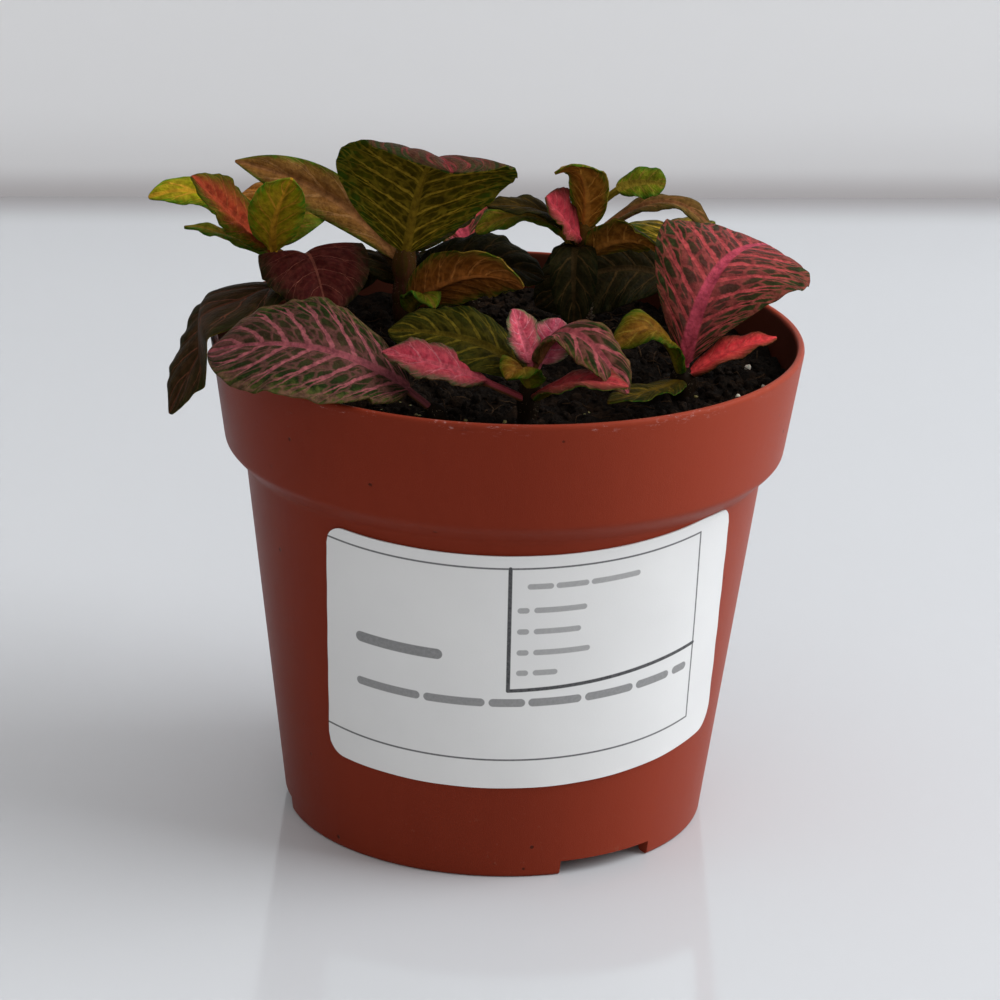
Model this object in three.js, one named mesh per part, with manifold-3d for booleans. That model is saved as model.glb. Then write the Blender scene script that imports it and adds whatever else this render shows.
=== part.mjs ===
// Potted nerve plant: plastic nursery pot, compost, adhesive label and eight leafy stems.
// Units are mm, Z is up.
import * as THREE from "three";
import { mergeVertices } from "three/addons/utils/BufferGeometryUtils.js";
import Module from "manifold-3d";

// Pot
const rimRadius = 42.5;
const potHeight = 71.5;
const bandHeight = 14.8;
const bandFootRadius = 40.35;
const bodyTopRadius = 37.25;
const bodyTopZ = 52.9;
const baseRadius = 30.55;
const wall = 1;
const rimWall = 1.15;
const footRingWidth = 2.1;
const floorUnderZ = 2.6;
const floorTopZ = 3.8;
const potSides = 56;
const notchAngles = [33, 153, -87];
const notchWidth = 15;
const notchHeight = 2.2;
const drainCount = 6;
const drainRadius = 3;
const drainCircle = 17;
const centreDrainRadius = 4;

// Compost
const soilLevel = 66;
const soilRelief = 0.55;
const soilGap = 0.35;
const soilSides = 44;
const soilRings = 8;

// Label
const labelWidth = 64;
const labelHeight = 36.6;
const labelCorner = 3;
const labelMidZ = 32.9;
const labelAzimuth = 9.9;
const labelTilt = 1.8;
const labelThickness = 0.3;
const labelGap = 0.12;

// Leaves and stems
const bladeThickness = 0.7;
const petioleThickness = 1.1;
const petioleHalfWidth = 0.55;
const veinSweep = 0.1;
const quiltDepth = 0.13;
const midribDepth = 0.35;
const marginWave = 0.4;
const rimClearRadius = rimRadius + 1.6;
const rimClearZ = potHeight + 1.1;
const stemFootZ = 52;
const stemSides = 9;
const holeGap = 0.35;

// Each stem has its centreline above the compost and its radius at foot and top. Each leaf has the
// height where it leaves the stem, the bend point and the tip of its midrib, the blade width, the roll
// about the midrib, the fold of the two halves, and, where they differ from the usual, the stalk length
// and the blade's outline powers.
const stems = [
  {
    name: "stem_left",
    path: [[-27, 6, 66], [-27.5, 6, 70], [-28.5, 6, 74], [-31, 6, 77.5], [-34.5, 6, 80.5]],
    radii: [1.6, 1.2],
    leaves: [
      {
        from: 73, bend: [-38.3, -3, 84], tip: [-47.5, -9, 60.5], width: 15, roll: -8, fold: 6,
        form: [0.7, 0.75], hangs: true,
      },
      { from: 77, bend: [-29, 0, 88], tip: [-25.5, -8, 75.5], width: 15, roll: -8, fold: 8 },
      {
        from: 80, bend: [-40, 2, 87.5], tip: [-45.5, 0, 93], width: 9, roll: 45, fold: 15,
        form: [0.8, 0.9],
      },
      { from: 80, bend: [-41.5, 10, 91.5], tip: [-52, 6, 88], width: 5, roll: 15, fold: 10 },
      { from: 80, bend: [-34.5, -1, 88], tip: [-31, -5, 94.5], width: 7.2, roll: 0, fold: 10 },
      { from: 80, bend: [-31, 15, 90.5], tip: [-24.5, 18, 85.5], width: 8, roll: -40, fold: 10 },
      { from: 80, bend: [-34, 14, 90], tip: [-39.5, 18, 85.5], width: 8, roll: 0, fold: 10 },
      { from: 79, bend: [-42, 14, 82], tip: [-47.5, 14, 81.5], width: 3, roll: 0, fold: 10 },
    ],
  },
  {
    name: "stem_mid_left",
    path: [[-14, 5, 66], [-14.5, 5, 70], [-15, 5, 74.5], [-15.2, 4.8, 79], [-15, 4.5, 83]],
    radii: [1.7, 1.3],
    leaves: [
      { from: 79, bend: [-23, 9, 90], tip: [-40, 11, 92.5], width: 6, roll: 60, fold: 12, form: [0.8, 1] },
      {
        from: 80, bend: [-12.5, -2, 103.5], tip: [-8.5, -14, 98.5], width: 25, roll: 14, fold: 6,
        form: [1, 0.75],
      },
      { from: 80, bend: [-12.5, 14, 89], tip: [-9, 20, 84.5], width: 14, roll: 0, fold: 8 },
      { from: 75, bend: [-5, 10, 82], tip: [5, 10, 76.5], width: 12, roll: -20, fold: 8 },
      { from: 73, bend: [-5.5, -4, 84.5], tip: [2, -6, 80], width: 9, roll: 50, fold: 8 },
      { from: 72, bend: [-12.5, -2, 80], tip: [-10.5, -6, 76.5], width: 4, roll: 0, fold: 10 },
      { from: 75, bend: [-20, 10, 86], tip: [-22, 13, 73], width: 14, roll: 0, fold: 8 },
    ],
  },
  {
    name: "stem_back",
    path: [[11, 14, 66], [10.5, 14, 70], [10, 13.6, 75], [10.3, 13.3, 80], [10.8, 13.3, 85]],
    radii: [1.9, 1.3],
    leaves: [
      { from: 82, bend: [12.5, 10, 96.5], tip: [6, 8, 93], width: 6, roll: 60, fold: 10 },
      {
        from: 84, bend: [15, 12, 92.5], tip: [22, 11, 91], width: 4, roll: -55, fold: 8, stalk: 7.5,
        form: [1.1, 0.5],
      },
      { from: 81, bend: [7.5, 8, 87], tip: [4.8, 8, 89.5], width: 8, roll: 65, fold: 15, form: [1.1, 0.6] },
      { from: 80, bend: [6.5, 10, 89], tip: [-3.5, 7, 88], width: 5.5, roll: 25, fold: 10 },
      {
        from: 79, bend: [3.5, 12, 90], tip: [-5, 9, 83.5], width: 3.6, roll: 20, fold: 10, stalk: 5,
        form: [1.3, 0.6],
      },
      { from: 80, bend: [22, 14, 93.5], tip: [29, 10, 84.5], width: 3.8, roll: -5, fold: 10, stalk: 4 },
      { from: 79, bend: [18, 8, 87], tip: [22, 4, 82], width: 8, roll: 40, fold: 10 },
      { from: 79, bend: [8.5, 4, 87.5], tip: [9.5, 1, 72], width: 6, roll: 0, fold: 10 },
    ],
  },
  {
    name: "stem_right",
    path: [[25, -10, 66], [25, -10, 68], [25, -10, 70.5]],
    radii: [1.7, 1.4],
    leaves: [
      { from: 69, bend: [27, -12, 90], tip: [37, 9, 83], width: 22, roll: -12, fold: 4, form: [1.15, 0.85] },
      {
        from: 68, bend: [30, -12, 74.5], tip: [37.8, -10, 75], width: 3.8, roll: -40, fold: 12,
        form: [0.7, 1],
      },
      {
        from: 68, bend: [21.6, -15, 82.5], tip: [14.8, -18, 75], width: 6.6, roll: 35, fold: 10,
        form: [0.8, 0.8],
      },
      { from: 68, bend: [19.5, -26, 71.5], tip: [14, -31, 71.5], width: 5.5, roll: 0, fold: 10 },
    ],
  },
  {
    name: "stem_front",
    path: [[3, -24, 66], [3.2, -24, 69], [3.5, -24, 71.5], [3.7, -24, 74]],
    radii: [1.4, 1.2],
    leaves: [
      { from: 71, bend: [-1.5, -24, 79.5], tip: [-16.5, -21, 77.5], width: 10, roll: 35, fold: 8 },
      {
        from: 69, bend: [-8, -31, 76.5], tip: [-17, -29, 77], width: 8, roll: 30, fold: 12, stalk: 8,
        form: [0.9, 0.9],
      },
      { from: 73, bend: [2, -25, 79], tip: [0.5, -25, 82.5], width: 4.5, roll: 80, fold: 15 },
      { from: 73, bend: [6, -24, 77.5], tip: [7, -22, 80.5], width: 5.5, roll: -75, fold: 10 },
      { from: 73, bend: [7, -26, 87], tip: [16.5, -33, 73.5], width: 7.8, roll: -5, fold: 8 },
      { from: 69, bend: [9.5, -33, 77], tip: [16.5, -35, 75], width: 6, roll: -20, fold: 10 },
      { from: 70, bend: [2.9, -28.5, 78], tip: [0, -31.5, 74.5], width: 5.5, roll: 25, fold: 10 },
    ],
  },
  {
    name: "stem_front_left",
    path: [[-9, -26, 66], [-9.5, -26.5, 67.5], [-10.5, -27, 69]],
    radii: [1.5, 1.2],
    leaves: [
      {
        from: 68, bend: [-24, -31, 82], tip: [-41, -25.5, 75], width: 23.5, roll: 26, fold: 5, stalk: 5,
        form: [0.88, 0.7],
      },
    ],
  },
  {
    name: "stem_rear_left",
    path: [[-6, 28, 66], [-6.5, 28, 71], [-7, 28, 77]],
    radii: [1.6, 1.2],
    leaves: [
      { from: 75, bend: [-22, 30, 89], tip: [-31, 33, 79], width: 14, roll: 0, fold: 8 },
      { from: 75, bend: [-10, 38, 90], tip: [-13, 50, 79], width: 14, roll: 0, fold: 8 },
      { from: 72, bend: [-8, 21, 80], tip: [-9, 14, 71], width: 12, roll: 0, fold: 8 },
    ],
  },
  {
    name: "stem_rear_right",
    path: [[24, 24, 66], [25, 24, 70], [26, 24, 75.5]],
    radii: [1.6, 1.2],
    leaves: [
      { from: 74, bend: [33, 28, 79], tip: [41.5, 30, 74], width: 11.5, roll: 0, fold: 8 },
      { from: 74, bend: [25, 33, 82], tip: [22, 44, 75], width: 12, roll: 0, fold: 8 },
      { from: 72, bend: [16, 21, 79.5], tip: [4, 20, 69.5], width: 12, roll: 50, fold: 8 },
    ],
  },
];

const wasm = await Module();
wasm.setup();

const radians = (degrees) => (degrees * Math.PI) / 180;
const vec = (p) => new THREE.Vector3(p[0], p[1], p[2]);
const mix = (a, b, t) => a + (b - a) * t;

function solidFromTriangles(points, faces) {
  return new wasm.Manifold(
    new wasm.Mesh({
      numProp: 3,
      vertProperties: new Float32Array(points.flatMap((p) => [p.x, p.y, p.z])),
      triVerts: new Uint32Array(faces.flat()),
    }),
  );
}

function solidFromGeometry(geometry) {
  const bare = geometry.clone();
  bare.deleteAttribute("normal");
  bare.deleteAttribute("uv");
  const merged = mergeVertices(bare, 1e-4);
  return new wasm.Manifold(
    new wasm.Mesh({
      numProp: 3,
      vertProperties: new Float32Array(merged.attributes.position.array),
      triVerts: new Uint32Array(merged.index.array),
    }),
  );
}

function geometryFromSolid(solid) {
  const mesh = solid.getMesh();
  const geometry = new THREE.BufferGeometry();
  const positions = new Float32Array(mesh.numVert * 3);
  for (let i = 0; i < mesh.numVert; i += 1) {
    for (let k = 0; k < 3; k += 1) {
      positions[i * 3 + k] = mesh.vertProperties[i * mesh.numProp + k];
    }
  }
  geometry.setAttribute("position", new THREE.BufferAttribute(positions, 3));
  geometry.setIndex(Array.from(mesh.triVerts));
  return geometry;
}

function meshOf(name, geometry, color, roughness) {
  const plain = geometry.index ? geometry.toNonIndexed() : geometry;
  plain.computeVertexNormals();
  const mesh = new THREE.Mesh(plain, new THREE.MeshStandardMaterial({ color, roughness, metalness: 0 }));
  mesh.name = name;
  return mesh;
}

// A body through rings of equal count, closed with a fan at each end.
function loft(rings) {
  const count = rings[0].length;
  const points = rings.flat();
  const faces = [];
  for (let i = 0; i + 1 < rings.length; i += 1) {
    for (let j = 0; j < count; j += 1) {
      const a = i * count + j;
      const b = i * count + ((j + 1) % count);
      faces.push([a, b, b + count]);
      faces.push([a, b + count, a + count]);
    }
  }
  const centre = (ring) => ring.reduce((sum, p) => sum.add(p), new THREE.Vector3()).divideScalar(count);
  const low = points.length;
  points.push(centre(rings[0]));
  points.push(centre(rings[rings.length - 1]));
  const lastRing = (rings.length - 1) * count;
  for (let j = 0; j < count; j += 1) {
    const next = (j + 1) % count;
    faces.push([low, next, j]);
    faces.push([low + 1, lastRing + j, lastRing + next]);
  }
  return solidFromTriangles(points, faces);
}

function tube(path, radiusAt, sides) {
  const rings = [];
  let side = new THREE.Vector3(1, 0, 0);
  for (let i = 0; i < path.length; i += 1) {
    const before = path[Math.max(0, i - 1)];
    const after = path[Math.min(path.length - 1, i + 1)];
    const along = after.clone().sub(before).normalize();
    side = side.clone().addScaledVector(along, -side.dot(along)).normalize();
    const other = along.clone().cross(side);
    const ring = [];
    for (let j = 0; j < sides; j += 1) {
      const turn = (2 * Math.PI * j) / sides;
      const radius = radiusAt(i);
      const out = side.clone().multiplyScalar(Math.cos(turn) * radius);
      ring.push(path[i].clone().add(out).addScaledVector(other, Math.sin(turn) * radius));
    }
    rings.push(ring);
  }
  return loft(rings);
}

// The point on a stem's centreline at a height.
function stemPoint(stem, z) {
  const above = stem.path.map(vec);
  let i = 0;
  while (i + 2 < above.length && above[i + 1].z < z) {
    i += 1;
  }
  const part = Math.min(1, (z - above[i].z) / (above[i + 1].z - above[i].z));
  return above[i].clone().lerp(above[i + 1], part);
}

// Midrib points with their frames, equally spaced along the curve.
function midrib(stem, leaf) {
  const steps = 120;
  const [base, bend, tip] = [stemPoint(stem, leaf.from), vec(leaf.bend), vec(leaf.tip)];
  const curve = new THREE.QuadraticBezierCurve3(base, bend, tip);
  curve.arcLengthDivisions = 400;
  const length = curve.getLength();
  const frames = [];
  let across = null;
  for (let i = 0; i <= steps; i += 1) {
    const at = i / steps;
    const point = curve.getPointAt(at);
    const along = curve.getTangentAt(at);
    if (across === null) {
      across = along.clone().cross(new THREE.Vector3(0, 0, 1));
      if (across.length() < 0.2) {
        across = tip.clone().sub(base).normalize().cross(new THREE.Vector3(0, 0, 1));
      }
    }
    across = across.clone().addScaledVector(along, -across.dot(along)).normalize();
    frames.push({ point, across, up: across.clone().cross(along) });
  }
  return { frames, length };
}

function frameAt(rib, at) {
  const last = rib.frames.length - 1;
  const place = Math.min(Math.max(at, 0), 1) * last;
  const low = Math.min(Math.floor(place), last - 1);
  const part = place - low;
  const [a, b] = [rib.frames[low], rib.frames[low + 1]];
  return {
    point: a.point.clone().lerp(b.point, part),
    across: a.across.clone().lerp(b.across, part).normalize(),
    up: a.up.clone().lerp(b.up, part).normalize(),
  };
}

// Keeps a leaf clear of the pot's rim: one that hangs over the edge moves out, any other moves up.
function clearOfRim(point, hangs) {
  const radius = Math.hypot(point.x, point.y);
  if (hangs && radius < rimClearRadius) {
    const low = THREE.MathUtils.clamp((rimClearZ + 4 - point.z) / 4, 0, 1);
    const near = THREE.MathUtils.clamp((radius - 34) / 5, 0, 1);
    const grow = mix(1, rimClearRadius / radius, THREE.MathUtils.smoothstep(low * near, 0, 1));
    point.x *= grow;
    point.y *= grow;
  }
  const reach = Math.hypot(point.x, point.y);
  if (point.z < rimClearZ && reach > rimRadius - 2.6 && reach < rimClearRadius - 1e-6) {
    if (hangs) {
      point.x *= rimClearRadius / reach;
      point.y *= rimClearRadius / reach;
    } else {
      point.z = rimClearZ;
    }
  }
  return point;
}

function leafSolid(stem, leaf, order) {
  const rib = midrib(stem, leaf);
  const size = [18, 11.5, 6].findIndex((least) => leaf.width > least);
  const [rows, halves] = [[12, 4], [11, 3], [9, 3], [7, 2]].at(size);
  const stalk = (leaf.stalk ?? 2) / rib.length;
  const [formA, formB] = leaf.form ?? [0.82, 0.72];
  const roll = radians(leaf.roll);
  const fold = radians(leaf.fold);
  const columns = 2 * halves + 1;
  const top = [];
  const bottom = [];
  for (let i = 0; i <= rows; i += 1) {
    const u = i === 0 ? -1 : (i - 1) / (rows - 1);
    for (let j = 0; j < columns; j += 1) {
      const v = (j - halves) / halves;
      const swept = u < 0 ? 0 : u + veinSweep * Math.abs(v) * Math.sin(Math.PI * u);
      const place = u < 0 ? 0 : mix(stalk, 1, swept);
      const frame = frameAt(rib, place);
      let half = petioleHalfWidth;
      if (u > 0 && u < 1) {
        half = 0.5 + (leaf.width / 2) * Math.sin(Math.PI * u ** formA) ** formB;
      } else if (u === 1) {
        half = 0.25;
      }
      const across = frame.across.clone().multiplyScalar(Math.cos(roll));
      across.addScaledVector(frame.up, Math.sin(roll));
      const up = frame.up.clone().multiplyScalar(Math.cos(roll));
      up.addScaledVector(frame.across, -Math.sin(roll));
      const a = Math.abs(v);
      const swell = u > 0 ? Math.sin(Math.PI * Math.min(u, 1)) : 0;
      const wave = marginWave * Math.sin(16 * u + order * 1.9 + (v < 0 ? 0 : 1.3)) * a * a * swell;
      const quilt = (i % 2 === 0 ? 1 : -1) * quiltDepth * Math.sin(Math.PI * Math.min(1, a * 1.1)) * swell;
      const lift = a * half * Math.tan(fold) - 0.1 * half * a ** 2.5 + wave + quilt;
      const middle = frame.point.clone().addScaledVector(up, lift);
      middle.addScaledVector(across, v * half * Math.cos(fold));
      const thick = (u < 0 ? petioleThickness : mix(petioleThickness, bladeThickness, Math.min(1, u * 5))) / 2;
      const ridge = j === halves ? midribDepth * swell : 0;
      top.push(clearOfRim(middle.clone().addScaledVector(up, thick), leaf.hangs));
      bottom.push(clearOfRim(middle.clone().addScaledVector(up, -thick - ridge), leaf.hangs));
    }
  }
  const faces = [];
  const shift = top.length;
  const quad = (a, b, c, d, flip) => {
    if (flip) {
      faces.push([a, b, d], [b, c, d]);
    } else {
      faces.push([a, b, c], [a, c, d]);
    }
  };
  for (let i = 0; i < rows; i += 1) {
    for (let j = 0; j + 1 < columns; j += 1) {
      const a = i * columns + j;
      const b = a + columns;
      const flip = j < halves;
      quad(a, a + 1, b + 1, b, flip);
      quad(shift + b, shift + b + 1, shift + a + 1, shift + a, !flip);
    }
    const left = i * columns;
    const right = left + columns - 1;
    quad(left, left + columns, shift + left + columns, shift + left, false);
    quad(right + columns, right, shift + right, shift + right + columns, false);
  }
  for (let j = 0; j + 1 < columns; j += 1) {
    const far = rows * columns + j;
    quad(j + 1, j, shift + j, shift + j + 1, false);
    quad(far, far + 1, shift + far + 1, shift + far, false);
  }
  return solidFromTriangles([...top, ...bottom], faces);
}

function stemSolid(stem) {
  const above = stem.path.map(vec);
  const foot = above[0].clone().setZ(stemFootZ);
  const path = [foot, ...above];
  const last = path.length - 1;
  const radiusAt = (i) => (i === last ? stem.radii[1] * 0.6 : mix(stem.radii[0], stem.radii[1], i / last));
  let solid = tube(path, radiusAt, stemSides);
  stem.leaves.forEach((leaf, order) => {
    solid = solid.add(leafSolid(stem, leaf, order));
  });
  return solid;
}

function holeSolid(stem) {
  const top = vec(stem.path[0]).setZ(soilLevel + 6);
  const foot = top.clone().setZ(stemFootZ - holeGap);
  return tube([foot, top], () => stem.radii[0] + holeGap, stemSides);
}

function drum(x, y, low, high, radius, sides) {
  return tube([new THREE.Vector3(x, y, low), new THREE.Vector3(x, y, high)], () => radius, sides);
}

function wallRadius(z) {
  return mix(baseRadius, bodyTopRadius, z / bodyTopZ);
}

function potSolid() {
  const bandFootZ = potHeight - bandHeight;
  const profile = [
    [0, floorUnderZ],
    [baseRadius - footRingWidth - 0.5, floorUnderZ],
    [baseRadius - footRingWidth, floorUnderZ - 0.5],
    [baseRadius - footRingWidth, 0],
    [baseRadius - 0.3, 0],
    [baseRadius, 0.4],
    [bodyTopRadius, bodyTopZ],
    [bodyTopRadius + 1.3, bodyTopZ + 1.25],
    [bodyTopRadius + 2.4, bodyTopZ + 2.3],
    [bandFootRadius - 0.15, bodyTopZ + 3],
    [bandFootRadius, bandFootZ],
    [rimRadius, potHeight - 0.5],
    [rimRadius - 0.2, potHeight],
    [rimRadius - rimWall + 0.2, potHeight],
    [rimRadius - rimWall, potHeight - 0.5],
    [bandFootRadius - rimWall, bandFootZ + 0.4],
    [bandFootRadius - rimWall - 0.2, bodyTopZ + 3.5],
    [bodyTopRadius + 1.4, bodyTopZ + 2.8],
    [bodyTopRadius + 0.5, bodyTopZ + 1.9],
    [bodyTopRadius - wall, bodyTopZ + 0.5],
    [wallRadius(floorTopZ) - wall + 0.1, floorTopZ + 1.2],
    [wallRadius(floorTopZ) - wall - 1, floorTopZ],
    [0, floorTopZ],
  ].map(([r, z]) => new THREE.Vector2(r, z));
  const shell = new THREE.LatheGeometry(profile, potSides).rotateX(Math.PI / 2);
  let solid = solidFromGeometry(shell);
  for (const angle of notchAngles) {
    const notch = new THREE.BoxGeometry(notchWidth, 12, notchHeight + 2);
    notch.translate(0, -baseRadius, notchHeight / 2 - 1);
    notch.rotateZ(radians(angle));
    solid = solid.subtract(solidFromGeometry(notch));
  }
  solid = solid.subtract(drum(0, 0, 1, floorTopZ + 1, centreDrainRadius, 16));
  for (let i = 0; i < drainCount; i += 1) {
    const turn = (2 * Math.PI * i) / drainCount;
    const [x, y] = [drainCircle * Math.cos(turn), drainCircle * Math.sin(turn)];
    solid = solid.subtract(drum(x, y, 1, floorTopZ + 1, drainRadius, 10));
  }
  return solid;
}

function soilHeight(x, y) {
  const lumps = Math.sin(1.3 * x + 0.6 * y) + Math.sin(-0.9 * x + 1.7 * y + 1) + Math.sin(0.5 * x - 1.1 * y + 4);
  return soilLevel + (soilRelief * lumps) / 2;
}

function soilSolid() {
  const bandFootZ = potHeight - bandHeight;
  const inner = bandFootRadius - rimWall;
  const side = [
    [wallRadius(floorTopZ) - wall - 1.4 - soilGap, floorTopZ + 0.3],
    [wallRadius(floorTopZ) - wall - soilGap, floorTopZ + 1.8],
    [bodyTopRadius - wall - soilGap, bodyTopZ + 0.7],
    [bodyTopRadius + 0.2, bodyTopZ + 2.15],
    [bodyTopRadius + 1.1, bodyTopZ + 3.05],
    [inner - 0.2 - soilGap, bodyTopZ + 3.7],
    [inner + 0.65 - soilGap, bandFootZ + 4.6],
  ];
  const ringAt = (radius, heightAt) => {
    const ring = [];
    for (let j = 0; j < soilSides; j += 1) {
      const turn = (2 * Math.PI * j) / soilSides;
      const [x, y] = [radius * Math.sin(turn), -radius * Math.cos(turn)];
      ring.push(new THREE.Vector3(x, y, heightAt(x, y)));
    }
    return ring;
  };
  const rings = side.map(([radius, z]) => ringAt(radius * Math.cos(Math.PI / potSides), () => z));
  const edge = inner + 1.35 - soilGap;
  for (let i = soilRings; i > 0; i -= 1) {
    rings.push(ringAt((edge * i) / soilRings, soilHeight));
  }
  let solid = loft(rings);
  for (const stem of stems) {
    solid = solid.subtract(holeSolid(stem));
  }
  return solid;
}

// A flat sheet laid on the cone of the pot's wall: x runs round the wall and y up it, from the sheet's middle.
// Its top corners pass the crease under the shoulder and bend outwards with it.
function labelPoint(x, y, out) {
  const slope = Math.atan((bodyTopRadius - baseRadius) / bodyTopZ);
  const apex = wallRadius(labelMidZ) / Math.sin(slope);
  const tilt = radians(labelTilt);
  const across = x * Math.cos(tilt) - y * Math.sin(tilt);
  const upward = x * Math.sin(tilt) + y * Math.cos(tilt);
  const reach = Math.hypot(across, apex + upward);
  const turn = Math.atan2(across, apex + upward) / Math.sin(slope) + radians(labelAzimuth);
  const height = labelMidZ + (reach - apex) * Math.cos(slope);
  const bent = Math.max(0, height - bodyTopZ) * Math.SQRT1_2;
  const z = Math.min(height, bodyTopZ) + bent;
  const radius = wallRadius(Math.min(height, bodyTopZ)) + bent + out;
  return new THREE.Vector3(radius * Math.sin(turn), -radius * Math.cos(turn), z);
}

function labelSolid() {
  const columns = [];
  for (let i = 0; i < 3; i += 1) {
    columns.push(-labelWidth / 2 + labelCorner * (1 - Math.cos(radians(30 * i))));
  }
  const plainHalf = labelWidth / 2 - labelCorner;
  const strips = 18;
  for (let i = 0; i <= strips; i += 1) {
    columns.push(mix(-plainHalf, plainHalf, i / strips));
  }
  for (let i = 2; i >= 0; i -= 1) {
    columns.push(labelWidth / 2 - labelCorner * (1 - Math.cos(radians(30 * i))));
  }
  const heights = [0, 0.35, 0.7, 0.93, 1];
  const rows = heights.length - 1;
  const inner = [];
  const outer = [];
  for (const x of columns) {
    const past = Math.max(0, Math.abs(x) - plainHalf);
    const half = labelHeight / 2 - labelCorner + Math.sqrt(Math.max(0, labelCorner ** 2 - past ** 2));
    for (let j = 0; j <= rows; j += 1) {
      const y = mix(-half, half, heights[j]);
      inner.push(labelPoint(x, y, labelGap));
      outer.push(labelPoint(x, y, labelGap + labelThickness));
    }
  }
  const faces = [];
  const shift = inner.length;
  const quad = (a, b, c, d) => faces.push([a, b, c], [a, c, d]);
  const tall = rows + 1;
  const last = (columns.length - 1) * tall;
  for (let i = 0; i + 1 < columns.length; i += 1) {
    for (let j = 0; j < rows; j += 1) {
      const a = i * tall + j;
      quad(shift + a, shift + a + tall, shift + a + tall + 1, shift + a + 1);
      quad(a + 1, a + tall + 1, a + tall, a);
    }
    const low = i * tall;
    const high = low + rows;
    quad(low, low + tall, shift + low + tall, shift + low);
    quad(high + tall, high, shift + high, shift + high + tall);
  }
  for (let j = 0; j < rows; j += 1) {
    quad(j + 1, j, shift + j, shift + j + 1);
    quad(last + j, last + j + 1, shift + last + j + 1, shift + last + j);
  }
  return solidFromTriangles([...inner, ...outer], faces);
}

const group = new THREE.Group();
group.add(meshOf("pot", geometryFromSolid(potSolid()), 0x9c4a38, 0.5));
group.add(meshOf("soil", geometryFromSolid(soilSolid()), 0x1f1813, 0.95));
group.add(meshOf("label", geometryFromSolid(labelSolid()), 0xe9e8e6, 0.6));
for (const stem of stems) {
  group.add(meshOf(stem.name, geometryFromSolid(stemSolid(stem)), 0x4d6134, 0.6));
}

// The middle of the whole plant's box stands over the origin.
const box = new THREE.Box3().setFromObject(group);
const middle = box.getCenter(new THREE.Vector3());
for (const mesh of group.children) {
  mesh.geometry.translate(-middle.x, -middle.y, -box.min.z);
}

export default group;
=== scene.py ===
from collections import namedtuple
from math import atan, cos, pi, radians, sin, sqrt, tan

import bmesh
import bpy
import numpy as np
from mathutils import Matrix, Vector


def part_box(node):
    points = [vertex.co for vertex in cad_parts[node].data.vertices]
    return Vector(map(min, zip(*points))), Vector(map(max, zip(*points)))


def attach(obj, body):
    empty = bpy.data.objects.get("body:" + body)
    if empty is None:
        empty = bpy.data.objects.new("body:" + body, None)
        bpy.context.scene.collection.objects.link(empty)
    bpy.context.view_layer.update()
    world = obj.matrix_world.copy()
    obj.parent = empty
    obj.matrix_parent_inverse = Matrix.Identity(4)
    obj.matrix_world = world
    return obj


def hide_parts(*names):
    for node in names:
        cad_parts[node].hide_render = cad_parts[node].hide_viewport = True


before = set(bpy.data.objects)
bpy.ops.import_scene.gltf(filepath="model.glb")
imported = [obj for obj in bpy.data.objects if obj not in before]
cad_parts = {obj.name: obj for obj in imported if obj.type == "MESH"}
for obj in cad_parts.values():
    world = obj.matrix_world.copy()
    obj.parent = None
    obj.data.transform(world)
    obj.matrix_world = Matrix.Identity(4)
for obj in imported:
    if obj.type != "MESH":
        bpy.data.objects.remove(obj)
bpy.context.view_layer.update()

# All lengths below are mm from the pot's axis on the table, as in the part's source.
pot_low, pot_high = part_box("pot")
AXIS = np.array([(pot_low[0] + pot_high[0]) / 2, (pot_low[1] + pot_high[1]) / 2, 0.0])

RIM_RADIUS = 42.5
POT_HEIGHT = 71.5
BAND_HEIGHT = 14.8
BAND_FOOT_RADIUS = 40.35
BODY_TOP_RADIUS = 37.25
BODY_TOP_Z = 52.9
BASE_RADIUS = 30.55
WALL = 1.0
RIM_WALL = 1.15
FLOOR_UNDER_Z = 2.6
FLOOR_TOP_Z = 3.8
FOOT_RING_WIDTH = 2.1
NOTCH_ANGLES = (33, 153, -87)
NOTCH_HEIGHT, NOTCH_HALF_WIDTH, NOTCH_SPAN = 2.2, 7.5, (24, 36)
DRAIN_RADIUS, DRAIN_CIRCLE, MID_DRAIN_RADIUS, DRAIN_SPAN = 3, 17, 4, (1.0, 5.0)
POT_SIDES = 224

SOIL_LEVEL = 66.0
SOIL_GAP = 0.35
SOIL_SIDES, SOIL_RINGS = 260, 110
SCATTER_RADIUS = 38.2

STALK_HALF_WIDTH = 0.55
STALK_THICKNESS = 1.1
BLADE_THICKNESS = 0.42
VEIN_SWEEP = 0.1
MARGIN_WAVE = 0.4
RIM_CLEAR_RADIUS = RIM_RADIUS + 1.6
RIM_CLEAR_Z = POT_HEIGHT + 1.1
STEM_FOOT_Z = 52.0
STEM_SIDES = 20
STALK_ROWS = 8
LEAF_TONE = 0.72


# A leaf's start is a height on its stem and bend the control point of its rib. roll and fold are in degrees.
Leaf = namedtuple("Leaf", "start bend tip width roll fold upper lower stalk form hangs",
                  defaults=(2.0, (0.82, 0.72), False))
Stem = namedtuple("Stem", "radii path leaves")


def look(ground, margin, vein, centre, flood, net, rib, lateral):
    """One side of a leaf: colours as screen values, and how strong each part of its pattern is."""
    return dict(ground=(ground, net), margin=(margin, rib), vein=(vein, lateral), centre=(centre, flood))


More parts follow.
